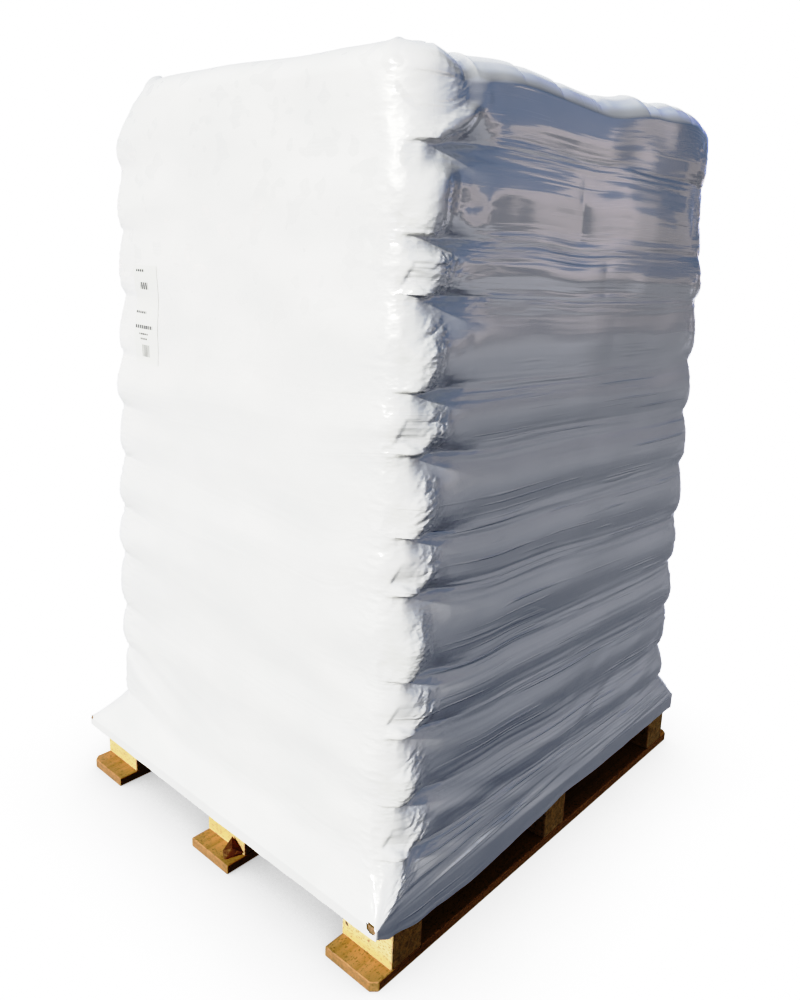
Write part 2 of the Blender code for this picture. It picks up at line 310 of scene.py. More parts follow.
def random_waves(run, up, cell_run, cell_up, seed):
    """Smooth random waves from 0 to 1. They meet themselves after one turn round the load."""
    cells = max(3, round(RING / cell_run))
    along = np.asarray(run) / RING * cells
    across = np.asarray(up) / cell_up + 2.0
    along, across = np.broadcast_arrays(along, across)
    rows = int(across.max()) + 3
    grid = np.random.default_rng(seed).random((rows, cells))
    column = np.floor(along).astype(int)
    row = np.floor(across).astype(int)
    share_run = smooth(along - column)
    share_up = smooth(across - row)
    left, right = column % cells, (column + 1) % cells
    low = grid[row, left] * (1 - share_run) + grid[row, right] * share_run
    high = grid[row + 1, left] * (1 - share_run) + grid[row + 1, right] * share_run
    return low * (1 - share_up) + high * share_up


def folds(run, up, cell_run, cell_up, seed):
    """Sharp-crested folds from 0 to 1."""
    return 1 - np.abs(2 * random_waves(run, up, cell_run, cell_up, seed) - 1)


def swings(run, up, cell_run, cell_up, seed):
    """Smooth random waves from -0.5 to 0.5."""
    return random_waves(run, up, cell_run, cell_up, seed) - 0.5


def read_load():
    """The load's layer limits, half plans and centre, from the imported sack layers."""
    boxes = [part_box(node) for node in SACK_NODES]
    limits = [low.z for low, high in boxes] + [boxes[-1][1].z]
    offs = [FILM_OFF_SACKS] * (LAYERS - 1) + [FILM_OFF_TOP_SACKS]
    half = [
        ((high.x - low.x) / 2 + off, (high.y - low.y) / 2 + off)
        for (low, high), off in zip(boxes, offs)
    ]
    middle = [((high.x + low.x) / 2, (high.y + low.y) / 2) for low, high in boxes]
    film_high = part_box("stretch_wrap")[1]
    return {
        "limits": np.array(limits),
        "half": np.array(half),
        "centre": np.mean(middle, axis=0),
        "deck_half": np.array([film_high.x, film_high.y]),
        "deck_top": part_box("deck_board_1")[1].z,
    }


LOAD = read_load()


def place_on_ring(run):
    """The corner signs and the outward angle at each place round the load."""
    run = np.mod(run, RING)
    sign_x = np.zeros_like(run)
    sign_y = np.zeros_like(run)
    angle = np.zeros_like(run)
    start = 0.0
    for side, flat in enumerate(FLAT_RUNS):
        here = (run >= start) & (run <= start + flat + CORNER_RUN)
        local = run[here] - start
        share = np.clip(local / flat, 0, 1)
        turn = np.clip((local - flat) / CORNER_RUN, 0, 1)
        from_x, from_y = CORNER_SIGNS[side - 1]
        to_x, to_y = CORNER_SIGNS[side]
        sign_x[here] = from_x + (to_x - from_x) * share
        sign_y[here] = from_y + (to_y - from_y) * share
        angle[here] = math.radians(90 * (side - 1)) + turn * math.pi / 2
        start += flat + CORNER_RUN
    return sign_x, sign_y, angle


def from_corner(run, corner):
    """How far round the load from this corner, negative before it."""
    return np.mod(run - corner + RING / 2, RING) - RING / 2


def to_nearest_corner(run):
    """How far round the load to the nearest corner."""
    return np.min([np.abs(from_corner(run, corner)) for corner in (NEAR, FAR, BACK, LEFT)], axis=0)


def round_the_load(run, table):
    """Reads a table of (place, value) round the load, eased between its places."""
    places = np.array([place for place, value in table])
    values = np.array([value for place, value in table])
    places = np.concatenate([[places[-1] - RING], places, [places[0] + RING]])
    values = np.concatenate([[values[-1]], values, [values[0]]])
    run = np.mod(run, RING)
    index = np.clip(np.searchsorted(places, run, side="right") - 1, 0, len(places) - 2)
    share = smooth((run - places[index]) / (places[index + 1] - places[index]))
    return values[index] * (1 - share) + values[index + 1] * share


def notch_heights(run):
    """The height of each layer limit round the load: a row for each limit."""
    limits = LOAD["limits"]
    sway_run, sway_up, first_seed = NOTCH_SWAY
    rows = [np.full_like(run, limits[0])]
    for number, (near, far, left) in enumerate(zip(NOTCHES_NEAR, NOTCHES_FAR, NOTCHES_LEFT)):
        back = limits[number + 1]
        table = (
            (0.04, left),
            (NEAR - 0.22, 0.5 * (near + back)),
            (NEAR, near),
            (NEAR + 0.30, 0.5 * (near + far)),
            (FAR, far),
            (BACK, back),
            (LEFT, left),
        )
        sway = swings(run, 0.0, sway_run, sway_up, first_seed + number)
        rows.append(round_the_load(run, table) + NOTCH_SWAY_HEIGHT * sway)
    return np.array(rows)


def bulge(share):
    """How far a layer stands out: 1 at its crest, low on the side, and 0 at its notches."""
    below = 1 - np.clip((CREST - share) / CREST, 0, 1) ** 2.6
    above = 1 - np.clip((share - CREST) / (1 - CREST), 0, 1) ** 2.0
    swell = below * above
    return (np.hypot(swell, NOTCH_ROUND) - NOTCH_ROUND) / (math.hypot(1, NOTCH_ROUND) - NOTCH_ROUND)


def bridged(share):
    """The same where the film bridges the notches: a soft wave."""
    return 0.5 - 0.5 * np.cos(2 * math.pi * np.clip(share, 0, 1))


def sheet_height(x, y):
    """How high the cover sheet lies at a place in plan: crowned over the sacks, lower at its edge."""
    centre_x, centre_y = LOAD["centre"]
    half_x, half_y = LOAD["half"][-1]
    across = (x - centre_x) / half_x
    along = (y - centre_y) / half_y
    on_side = np.abs(across) > np.abs(along)
    front = NEAR + (across - 1) / 2 * (NEAR - LEFT + RING)
    right = NEAR + (along + 1) / 2 * (FAR - NEAR)
    back = FAR + (1 - across) / 2 * (BACK - FAR)
    left = BACK + (1 - along) / 2 * (LEFT - BACK)
    run = np.where(on_side, np.where(across > 0, right, left), np.where(along > 0, back, front))
    edge_height = round_the_load(run, TOP_EDGE)
    past_edge = np.minimum((1 - np.abs(across)) * half_x, (1 - np.abs(along)) * half_y)
    crown = SHEET_CROWN * np.abs(np.cos(np.pi * 1.5 * along)) ** 0.6
    crown = crown * np.sqrt(np.clip(1 - across**2, 0, 1))
    crumple = folds(across + 1, along + 1, *SHEET_FOLDS) * SHEET_FOLD_HEIGHT
    inner = SHEET_MIDDLE + crown + crumple
    border = 1 - rising(past_edge, 0.05, 0.10)
    drop = SHEET_EDGE_DROP * (1 - rising(past_edge, -0.004, 0.065)) ** 1.3
    return inner * (1 - border) + (edge_height - SHEET_UNDER_EDGE - drop) * border


def pocket_edge(side_share):
    """Where the thin layers' pockets begin, past the near corner, at a share of the layer's height."""
    return -0.030 + 0.055 * side_share


class FilmGrid:
    """Where each point of the film lies on the load, and the shares that shape its folds there.

    run holds places round the load, one for each column. rows holds five numbers for each row: the
    layer, the share of its height, and the shares of the hem below it, of the turn over the top edge
    and of the way in over the top.
    """

    def __init__(self, run, rows, shoulder):
        # Which layer it is.
        self.run = np.asarray(run, float)[None, :]
        layer, self.share, self.hem, self.turn, self.over = (rows[:, index][:, None] for index in range(5))
        self.layer = layer.astype(int)
        self.first = self.layer == 0
        self.last = self.layer == LAYERS - 1
        self.above_first = np.where(self.first, 0.0, 1.0)
        self.below_last = np.where(self.last, 0.0, 1.0)
        self.thin = (self.layer % 2 == 1).astype(float) * self.below_last
        self.up = self.layer + self.share

        # How high up the load.
        edge = round_the_load(self.run[0], TOP_EDGE) - shoulder
        limits = np.vstack([notch_heights(self.run[0]), edge])
        self.low = limits[self.layer[:, 0]]
        self.thick = limits[self.layer[:, 0] + 1] - self.low
        self.height = self.low + self.share * self.thick
        self.flow = self.up * MEAN_LAYER - self.hem * 0.05
        self.high_up = rising(self.height, 1.20, 0.12)

        # How far round the load from its corners, and on which side.
        self.near = from_corner(self.run, NEAR)
        self.from_far = from_corner(self.run, FAR)
        self.from_left = from_corner(self.run, LEFT)
        self.corner = to_nearest_corner(self.run)
        self.at_near = skewed_bump(self.near, 0.028, 0.055, 0.125)
        self.at_other = bump_at(self.corner, 0.0, 0.07) * (1 - self.at_near)
        self.at_far = bump_at(self.from_far, 0.0, 0.12) * rising(self.up, 8.5, 1.5)
        front_begun = rising(self.near, -FRONT_RUN - CORNER_RUN, 0.12)
        self.on_front = falling(self.near, -0.05, 0.12) * front_begun
        self.in_sun = falling(self.near, 0.03, 0.06) * front_begun
        self.on_right = rising(self.near, 0.02, 0.06) * falling(self.near, FAR - NEAR, 0.06)

        # How far the layer stands out, and the notches below and above it.
        self.side_share = np.where(self.last, self.share * 0.62, self.share)
        self.side_share = np.where(self.first, np.maximum(self.share, CREST), self.side_share)
        self.swell = bulge(self.side_share)
        self.body = (1 - self.hem) * (1 - smooth(self.turn))
        self.body = self.body * np.where(self.first, smooth(self.share * 3), 1.0)
        bottom_notch = self.above_first * bump_at(self.share * self.thick, 0.0, 0.020)
        top_notch = self.below_last * bump_at((1 - self.share) * self.thick, 0.0, 0.026)
        self.notch = (bottom_notch + top_notch) * self.body

        # The teeth and the pockets of crumpled film at the near corner.
        self.toothed = bump_at(self.near, 0.047 + 0.018 * self.thin, 0.026) * self.body
        self.toothed = self.toothed * falling(self.side_share, 0.86, 0.25)
        self.toothed = self.toothed * (1 - 0.75 * rising(self.height, 1.30, 0.10))
        pocket_low = np.clip(0.17 - 2.0 * np.maximum(self.near + 0.02, 0.0), 0.02, 1.0)
        self.pocket = rising(self.near, pocket_edge(self.side_share), 0.009) * falling(self.near, 0.105, 0.05)
        self.pocket = self.pocket * falling(self.side_share, 0.60, 0.10) * self.thin * self.body
        self.pocket = self.pocket * rising(self.side_share, pocket_low, 0.07)


def layers_out(at, settings):
    """The film over the layers: out at their crests, drawn in between them, most at the near corner."""
    upper = rising(at.share, 0.40, 0.20) * falling(at.share, 1.0, 0.05) * at.above_first
    cut = skewed_bump(at.near, 0.062 - 0.014 * upper, 0.040 + 0.012 * upper, 0.105)
    elsewhere = bump_at(at.corner, 0.0, 0.10) * (np.abs(at.near) > 0.3)
    cornered = np.maximum(cut * rising(cut, 0.06, 0.30), elsewhere)
    depth = settings.corner_notch * np.maximum(cut, 0.55 - 0.25 * at.at_far)
    bridge = bridged(np.where(at.last, np.minimum(at.share * 0.9, 0.5), at.share))
    soft_swell = np.where(at.first, at.swell, bridge)
    dip = round_the_load(at.run[0], SIDE_DIPS)[None, :]
    dip = dip * (1 - 0.6 * at.on_right * rising(at.height, 0.95, 0.3))
    return -depth * cornered * (1 - at.swell) - dip * (1 - cornered) * (1 - soft_swell)


def noses_out(at):
    """The rounded noses of the layers beside the notches of the near corner."""
    nose_at = 0.022 + 0.035 * at.side_share + at.thin * 0.03 * smooth(at.side_share / 0.3)
    nose_at = nose_at + at.high_up * (0.032 + np.where(at.last, 0.16, 0.022) * at.side_share - nose_at)
    nose_top = np.where(at.last, 0.24, 0.38 + 0.20 * at.high_up)
    nose = NOSE_DEPTH * (1 - np.where(at.last, 1.0, 0.85) * rising(at.side_share, nose_top, 0.20))
    return nose * bump_at(at.near, nose_at, 0.030) * at.body * at.above_first


def sways_out(at):
    """Broad swells of the sides, and the places where the far and left corners draw in."""
    out = BROAD_SWAY_DEPTH * swings(at.run, at.flow, *BROAD_SWAY) * at.body
    small_depth = SMALL_SWAY_DEPTH + SMALL_SWAY_DEPTH_NEAR * at.at_near
    out = out + small_depth * swings(at.run, at.flow, *SMALL_SWAY) * at.body
    out = out - FAR_TOP_IN * at.at_far * rising(at.up, 9.8, 0.8)
    low_down = bump_at(at.from_far, 0.0, 0.12) + bump_at(at.from_left, 0.0, 0.12)
    out = out - LOW_CORNERS_IN * low_down * bump_at(at.height, 0.30, 0.10)
    left_in = 0.006 * rising(at.height, 0.3, 0.4) + 0.008 * rising(at.height, 1.0, 0.2)
    left_in = left_in * (1 - 0.9 * rising(at.height, 1.40, 0.15))
    out = out - left_in * bump_at(at.from_left, 0.0, 0.13)
    gaps = folds(at.run, at.layer + 0.5, *SACK_GAPS) ** 14
    return out - SACK_GAP_DEPTH * gaps * at.swell * at.body


def ropes_out(at, settings):
    """Ropes and long folds that wrapping drew into the film, most of them at the notches."""
    lean = at.flow + 0.1 + 0.03 * random_waves(at.run, 0.0, *ROPE_SWAY) + 0.10 * at.on_front * (at.near + 0.4)
    lower_half = falling(at.height, 1.25, 0.35)
    bundles = rising(random_waves(at.run, lean, *ROPE_BUNDLES), 0.45, 0.25)
    share = 0.03 + 0.62 * at.notch + 0.15 * bundles * lower_half * at.body
    share = share * (1 - 0.86 * at.in_sun)
    ropes = (0.30 + 0.70 * lower_half) * (folds(at.run, lean, *ROPES) - 0.5)
    ropes = ropes + 0.45 * (folds(at.run, lean, *FINE_ROPES) - 0.5)
    long_folds = swings(at.run, lean, *LONG_FOLDS) * at.on_front * falling(at.height, 0.95, 0.4) * at.body
    return settings.rope_height * share * ropes + LONG_FOLD_DEPTH * long_folds


def teeth_out(at, settings):
    """Small teeth of crumpled film at the near corner."""
    by_corner = np.clip(at.near, -0.25, 0.25)
    slant = at.height + 0.2 - 0.6 * by_corner
    teeth = 0.8 * (folds(at.run, slant, *TEETH) - 0.45) + 0.7 * (folds(at.run, slant, *SMALL_TEETH) - 0.45)
    crisp = at.at_near * rising(at.near, -0.005, 0.03) * (0.35 + 0.65 * at.notch) * at.body
    crisp = crisp * (folds(at.run, at.height - 0.2 * by_corner, *CRISP_FOLDS) - 0.45)
    return settings.tooth_height * at.toothed * teeth + CRISP_FOLD_DEPTH * crisp


def pockets_out(at, settings):
    """The thin layers' pockets at the near corner, with level pleats and small slits in them."""
    depth = 0.42 + 0.58 * np.clip((at.near - pocket_edge(at.side_share)) / 0.05, 0, 1)
    depth = depth * (0.30 + 0.70 * np.clip((0.60 - at.side_share) / 0.36, 0, 1))
    pleated = 0.15 + 0.85 * rising(at.height, 0.75, 0.2)
    pleats = pleated * (folds(at.run, at.height + 0.05 * at.near, *PLEATS) ** 2 - 0.4)
    out = at.pocket * (-settings.recess_depth * depth + settings.pleat_height * pleats)
    for slit_share, slit_depth in PLEAT_SLITS:
        past = at.near - pocket_edge(slit_share)
        slit = smooth(past / 0.006) * np.exp(-np.clip(past, 0, None) / 0.024)
        off_slit = (at.side_share - slit_share - SLIT_SLOPE * past) * at.thick
        slit = slit * bump_at(off_slit, 0.0, SLIT_HEIGHT)
        out = out - slit_depth * slit * at.thin * at.body * pleated
    return out


def crumples_out(at):
    """Crumples of the corners: big ones high up at the near corner, small ones at the others."""
    big = swings(at.run, at.height, *BIG_CRUMPLES) * at.at_near * rising(at.height, 1.28, 0.12)
    small = (folds(at.run, at.height, *CRUMPLES) - 0.5) * at.at_other
    return (BIG_CRUMPLE_DEPTH * big + CRUMPLE_DEPTH * small) * at.body


def skirt_out(at, settings):
    """The film drawn down over the lowest layer to its hem."""
    skirt = np.where(at.first, 1.0, falling(at.height, 0.46, 0.2)) * (1 - at.hem)
    skirt = skirt * np.where(at.first, smooth(at.share * 2), 1.0)
    pulled = swings(at.run, at.height + 0.35 * at.corner, *SKIRT_PULLS) * skirt
    low_band = smooth(at.share * 6) * (1 - rising(at.share, 0.25, 0.35))
    along_hem = at.on_right * np.where(at.first, low_band, 0.0)
    along_hem = along_hem * (folds(at.run, at.height - 0.06 * at.near, *HEM_FOLDS) - 0.5)
    hem_waves = HEM_WAVE_DEPTH * at.hem * swings(at.run, 0.0, *HEM_WAVES)
    tucked = -settings.hem_tuck * smooth(at.hem) + hem_waves
    return SKIRT_PULL_DEPTH * pulled + HEM_FOLD_DEPTH * along_hem + tucked


def film_heights(at, climb):
    """The height of each point, with the hem, the climb over the top edge and the tucks in it."""
    tucks = np.zeros_like(at.near)
    for place, width, depth in TUCKS:
        past = (at.near - place) / width
        inside = (past > 0) & (past < 1)
        tucks += np.where(inside, depth * (1 - past) * rising(at.near, place, 0.006), 0.0)
    wrinkles = WRINKLE_HEIGHT * folds(at.run, 0.0, *TOP_WRINKLES) ** 5 * (1 - 0.8 * at.on_front)
    knob = LEFT_KNOB_HEIGHT * bump_at(at.from_left, 0.11, 0.016)
    hem_edge = round_the_load(at.run[0], HEM_EDGE)[None, :]
    height = np.where(at.turn > 0, at.height + climb, at.height)
    height = height - at.hem * (at.low - hem_edge) * (1 - at.above_first)
    height = height + (wrinkles - tucks + knob) * np.sin(np.clip(at.turn, 0, 1) * math.pi / 2)
    return np.where(at.hem > 0, np.minimum(height, LOAD["deck_top"] + 0.001), height)


def film_plan(at, out, inset):
    """Where the film's points lie in plan: flat runs, with a rounded corner after each."""
    pulled_in = np.where(at.first, 1 - (1 - at.share) ** 2.3, 1.0)
    radius = DECK_CORNER + (LOAD_CORNER - DECK_CORNER) * np.where(at.first, at.share**0.8, 1.0)
    radius = radius + 0.028 * bump_at(at.near, 0.0, 0.16) * rising(at.up, 10.8, 0.7)
    rounded = np.minimum(radius, LEAST_CORNER)
    inner_radius = np.maximum(radius - inset, rounded) + out
    past_corner = np.maximum(inset - (radius - rounded), 0.0)
    *signs, angle = (part[None, :] for part in place_on_ring(at.run[0]))
    places = []
    for axis, facing in enumerate((np.cos(angle), np.sin(angle))):
        deck = LOAD["deck_half"][axis]
        half = np.interp(at.up - 0.4, np.arange(LAYERS), LOAD["half"][:, axis])
        half = deck + (half - deck) * pulled_in
        flat = signs[axis] * (half - radius - past_corner)
        places.append(LOAD["centre"][axis] * pulled_in + flat + inner_radius * facing)
    return places


def film_marks(at):
    """What the film's material reads: its creases, which also carry painted shade, how crumpled it is, and
    the place on the wrap.
    """
    # Painted shade: this value also greys the film's colour in the notches, pockets and teeth, less on the
    # lit front, and along the right side's hem.
    creased = 0.9 * at.notch * (1 - 0.7 * at.on_front) + at.pocket + 0.4 * at.toothed
    creased = creased + 0.7 * at.hem * at.on_right
    crumpled = 0.75 * at.toothed + 0.35 * at.at_near * at.notch + 0.30 * at.at_other * at.body
    drum = RING / (2 * math.pi)
    around = at.run / drum
    wrapped = np.broadcast_arrays(drum * np.cos(around), drum * np.sin(around), at.flow)
    return {
        "creased": np.clip(creased, 0, 1),
        "crumpled": np.clip(crumpled, 0, 1),
        "wrapped": np.stack(wrapped, axis=-1),
    }


def film_points(run, rows, settings, lift=0.0):
    """Points on the stretch film, lifted off it by this much, and their marks for the material."""
    at = FilmGrid(run, rows, settings.shoulder_radius)
    crease = np.radians(3 + 17 * at.on_right)
    turned = crease + (math.pi / 2 - crease) * at.turn
    shoulder = settings.shoulder_radius / (1 - np.sin(crease))
    inset = shoulder * (np.cos(crease) - np.cos(turned)) + at.over * settings.over_top
    height = film_heights(at, shoulder * (np.sin(turned) - np.sin(crease)))

    out = layers_out(at, settings) + noses_out(at) + sways_out(at) + ropes_out(at, settings)
    out = out + teeth_out(at, settings) + pockets_out(at, settings)
    out = out + crumples_out(at) + skirt_out(at, settings) + lift
    dimples = swings(at.run, height, *DIMPLES) * bump_at(at.near, -0.02, 0.06)
    out = out + (DIMPLE_DEPTH + DIMPLE_DEPTH_HIGH_UP * at.high_up) * dimples * at.body
    droop = np.where(at.last, rising(at.share + at.turn, 0.15, 1.2), 0.0)
    out = out - LEFT_CORNER_DROOP * bump_at(at.from_left, 0.0, 0.13) * droop
    hook = at.at_near * smooth(at.near / 0.03) * bump_at(at.side_share, 0.14, 0.10)
    height = height - settings.undercut * hook * at.body * at.above_first

    x, y = film_plan(at, out, inset)
    x, y, height = np.broadcast_arrays(x, y, height)
    ripples = RIPPLE_HEIGHT * swings(at.run, at.over * 0.1, *OVER_RIPPLES)
    on_sheet = sheet_height(x, y) + FILM_OFF_SHEET + ripples
    laid = smooth(at.over * 2.5)
    points = np.stack([x, y, height * (1 - laid) + on_sheet * laid], axis=-1)
    return points, film_marks(at)


def column_places(fine, middling, coarse):
    """Places round the load, close together at the near corner and wider apart at the back."""
    places = [0.0]
    while places[-1] < RING - coarse:
        here = places[-1]
        near = float(from_corner(here, NEAR))
        widest = middling if here < FAR + 0.1 else coarse
        step = fine + (widest - fine) * min(1.0, max(0.0, (abs(near) - 0.13) / 0.06))
        if to_nearest_corner(here) < CORNER_REACH:
            step = min(step, middling * 0.75)
        if any(-0.008 < near - place < 0.010 for place, width, depth in TUCKS):
            step = min(step, TUCK_COLUMN)
        places.append(here + step)
    return np.array(places) * RING / (places[-1] + coarse)


def body_rows(first_layer, last_layer, steps):
    """Rows of the film's mesh over these layers, both included."""
    rows = []
    for layer in range(first_layer, last_layer + 1):
        for step in range(steps):
            rows.append((layer, step / steps, 0, 0, 0))
    rows.append((last_layer, 1.0, 0, 0, 0))
    return rows


def add_piece(name, mesh, material, node_names):
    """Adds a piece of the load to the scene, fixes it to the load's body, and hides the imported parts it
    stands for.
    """
    piece = bpy.data.objects.new(name, mesh)
    bpy.context.scene.collection.objects.link(piece)
    mesh.materials.append(material)
    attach(piece, "root")
    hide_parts(*node_names)
    return piece


def mesh_from_grid(name, points, closed, keep=None):
    """A smooth mesh from rows of points. A closed one joins its last column to its first."""
    row_count, column_count = points.shape[:2]
    index = np.arange(row_count * column_count).reshape(row_count, column_count)
    following = np.roll(index, -1, axis=1) if closed else index[:, 1:]
    here = index if closed else index[:, :-1]
    faces = np.stack([here[:-1], following[:-1], following[1:], here[1:]], axis=-1)
    if keep is not None:
        faces = faces[keep[: faces.shape[0], : faces.shape[1]]]
    mesh = bpy.data.meshes.new(name)
    mesh.from_pydata(points.reshape(-1, 3).tolist(), [], faces.reshape(-1, 4).tolist())
    mesh.shade_smooth()
    return mesh


def set_point_values(mesh, name, values):
    """Stores a number or a place at each point of the mesh, for its material."""
    values = np.asarray(values, np.float32)
    if values.ndim == 3:
        mesh.attributes.new(name, "FLOAT_VECTOR", "POINT").data.foreach_set("vector", values.ravel())
    else:
        mesh.attributes.new(name, "FLOAT", "POINT").data.foreach_set("value", values.ravel())


class Nodes:
    """Builds the nodes of a material, or of the world, with short calls. Colours are three numbers."""

    def __init__(self, owner):
        self.owner = owner
        owner.use_nodes = True
        self.tree = owner.node_tree

    def add(self, kind, **values):
        """Adds a node, sets its own values and its sockets, and returns it."""
        node = self.tree.nodes.new(kind)
        for key, value in values.items():
            if key in node.inputs:
                self.feed(node.inputs[key], value)
            else:
                setattr(node, key, value)
        return node

    def feed(self, socket, value):
        """Links an output to a socket, or sets the socket's value."""
        if isinstance(value, bpy.types.NodeSocket):
            self.tree.links.new(value, socket)
        elif socket.type == "RGBA":
            socket.default_value = (*value, 1)
        else:
            socket.default_value = value

    def fed(self, kind, sockets, *values, **settings):
        """Adds a node, feeds values to its sockets with these numbers, and returns it."""
        node = self.add(kind, **settings)
        for number, value in zip(sockets, values):
            self.feed(node.inputs[number], value)
        return node

    def math(self, operation, *values):
        """One calculation with values."""
        return self.fed("ShaderNodeMath", (0, 1, 2), *values, operation=operation).outputs[0]

    def times(self, first, second):
        """The product of two values."""
        return self.math("MULTIPLY", first, second)

    def weighted(self, total, *terms):
        """A number with values added, each times its weight."""
        for value, weight in terms:
            total = self.math("MULTIPLY_ADD", value, weight, total)
        return total

    def combine(self, operation, first, second):
        """One calculation with two colours."""
        return self.fed("ShaderNodeVectorMath", (0, 1), first, second, operation=operation).outputs[0]

    def mix(self, share, first, second):
        """Mixes two colours by a share."""
        return self.fed("ShaderNodeMix", (0, 6, 7), share, first, second, data_type="RGBA").outputs[2]

    def covered(self, colour, *layers):
        """A colour with others laid over it, each by its share."""
        for share, over in layers:
            colour = self.mix(share, colour, over)
        return colour

    def blend(self, share, first, second):
        """Mixes two shaders by a share."""
        return self.fed("ShaderNodeMixShader", (0, 1, 2), share, first, second).outputs[0]

    def place(self, scale, stored=None):
        """The place on the object, or one stored at the mesh's points, scaled for a texture."""
        if stored is None:
            where = self.add("ShaderNodeTexCoord").outputs["Object"]
        else:
            where = self.add("ShaderNodeAttribute", attribute_name=stored).outputs["Vector"]
        return self.add("ShaderNodeMapping", Vector=where, Scale=scale).outputs["Vector"]

    def noise(self, scale, detail=2.0, rough=0.5, distortion=0.0, stored=None):
        """Noise stretched by the scale along each axis."""
        made = self.add(
            "ShaderNodeTexNoise",
            Vector=self.place(scale, stored),
            Scale=1.0,
            Detail=detail,
            Roughness=rough,
            Distortion=distortion,
        )
        return made.outputs["Fac"]

    def cells(self, scale):
        """The distance from the middles of scattered cells."""
        return self.add("ShaderNodeTexVoronoi", Vector=self.place(scale), Scale=1.0).outputs["Distance"]

    def spread(self, value, low, high, to_low=0.0, to_high=1.0):
        """Maps a value from one range to another, and clamps it."""
        limits = (low, high, to_low, to_high)
        return self.fed("ShaderNodeMapRange", (0, 1, 2, 3, 4), value, *limits).outputs["Result"]

    def banded(self, value, stops):
        """Colours along a value from -1 to 1. A stop is a share of that way, and the colour there."""
        ramp = self.add("ShaderNodeValToRGB", Fac=self.math("MULTIPLY_ADD", value, 0.5, 0.5))
        elements = ramp.color_ramp.elements
        for element, (position, colour) in zip(elements, (stops[0], stops[-1])):
            element.position = position
            element.color = (*colour, 1)
        for position, colour in stops[1:-1]:
            elements.new(position).color = (*colour, 1)
        return ramp.outputs[0]

    def shone(self, colour, power):
        """Light of this colour from all round."""
        return self.add("ShaderNodeBackground", Color=colour, Strength=power).outputs[0]

    def value_of(self, name):
        """A number stored at the mesh's points."""
        return self.add("ShaderNodeAttribute", attribute_name=name).outputs["Fac"]

    def bumps(self, *layers):
        """Bumps the surface by several heights, one over another, each with its distance and strength."""
        normal = None
        for height, distance, strength in layers:
            made = self.add("ShaderNodeBump", Height=height, Distance=distance, Strength=strength)
            if normal is not None:
                self.feed(made.inputs["Normal"], normal)
            normal = made.outputs["Normal"]
        return normal

    def finish(self, **values):
        """Sets the shader's sockets and returns the material."""
        for key, value in values.items():
            self.feed(self.tree.nodes["Principled BSDF"].inputs[key.replace("_", " ")], value)
        return self.owner


def stretch_film_material():
    """White stretch film: glossy where it is tight, with fine drawn streaks along the wrap, and with painted
    shade greying its creases.
    """
    nodes = Nodes(bpy.data.materials.new("stretch_film"))

    def drawn_out(around, up, *rest):
        return nodes.noise((around, around, up), *rest, stored="wrapped")

    on_film = nodes.add("ShaderNodeSeparateXYZ", Vector=nodes.add("ShaderNodeTexCoord").outputs["Object"])
    along, up = on_film.outputs["Y"], on_film.outputs["Z"]
    tight = nodes.spread(up, 1.00, 1.30)
    creased = nodes.value_of("creased")
    crumpled = nodes.value_of("crumpled")

    cloudy = nodes.spread(nodes.noise((5, 5, 9), 3.0), 0.3, 0.7)
    white = nodes.mix(cloudy, (0.77, 0.78, 0.77), (0.88, 0.88, 0.87))
    # Painted shade: the film is greyed where the crease value is high, in the notches, pockets and teeth, and
    # along the right side's hem.
    colour = nodes.mix(nodes.times(creased, 0.20), white, (0.70, 0.71, 0.72))

    streaks = drawn_out(1.9, 150, 3.0, 0.6)
    drawn = nodes.spread(drawn_out(2.6, 17), 0.42, 0.62)
    height = nodes.weighted(nodes.times(streaks, drawn), (nodes.noise((40, 40, 40), 4.0, 0.6), 0.05))
    uneven = nodes.weighted(nodes.spread(up, 1.00, 1.30, 0.17, 0.06), (creased, 0.75))
    lines = nodes.spread(drawn_out(1.6, 105, 1.0), 0.56, 0.72)
    here = nodes.spread(drawn_out(3.4, 24), 0.48, 0.60)
    here = nodes.times(here, nodes.spread(up, 0.95, 1.20, 1.0, 0.12))
    here = nodes.times(here, nodes.spread(along, -0.56, -0.50))
    shards = nodes.weighted(nodes.cells((85, 85, 150)), (nodes.noise((150, 150, 300)), 0.35))
    normal = nodes.bumps(
        (nodes.times(drawn_out(0.9, 50, 2.0, 0.5, 0.4), uneven), 0.0016, 0.5),
        (nodes.times(height, uneven), 0.0017, 0.7),
        (nodes.times(drawn_out(4, 420), uneven), 0.0003, 0.5),
        (nodes.times(lines, here), 0.0016, 1.0),
        (nodes.times(shards, crumpled), 0.0030, 0.8),
    )

    glints = nodes.spread(nodes.noise((23, 23, 27), 1.0), 0.57, 0.64)
    past_corner = nodes.spread(along, -0.52, -0.48)
    glossy = nodes.times(tight, nodes.math("MAXIMUM", glints, past_corner))
    matt = nodes.math("SUBTRACT", tight, glossy)
    patch = nodes.times(nodes.spread(streaks, 0.52, 0.70), drawn)
    return nodes.finish(
        Base_Color=colour,
        Roughness=nodes.weighted(0.36, (tight, -0.10), (patch, 0.10), (matt, 0.24)),
        IOR=1.5,
        Normal=normal,
        Coat_Weight=nodes.weighted(0.55, (tight, 0.45)),
        Coat_Roughness=nodes.weighted(0.22, (matt, 0.28), (glossy, -0.165)),
        Coat_IOR=1.85,
        Coat_Normal=normal,
    )


def cover_film_material():
    """Thin clear-white cover sheet, crumpled and glossy."""
    nodes = Nodes(bpy.data.materials.new("cover_film"))
    wide = nodes.noise((7, 7, 7), 3.0)
    return nodes.finish(
        Base_Color=nodes.mix(nodes.spread(wide, 0.3, 0.7), (0.74, 0.76, 0.77), (0.84, 0.85, 0.85)),
        Roughness=nodes.spread(wide, 0.2, 0.8, 0.16, 0.34),
        Normal=nodes.bumps((nodes.noise((30, 30, 30), 5.0, 0.6, 0.8), 0.0025, 0.6)),
    )


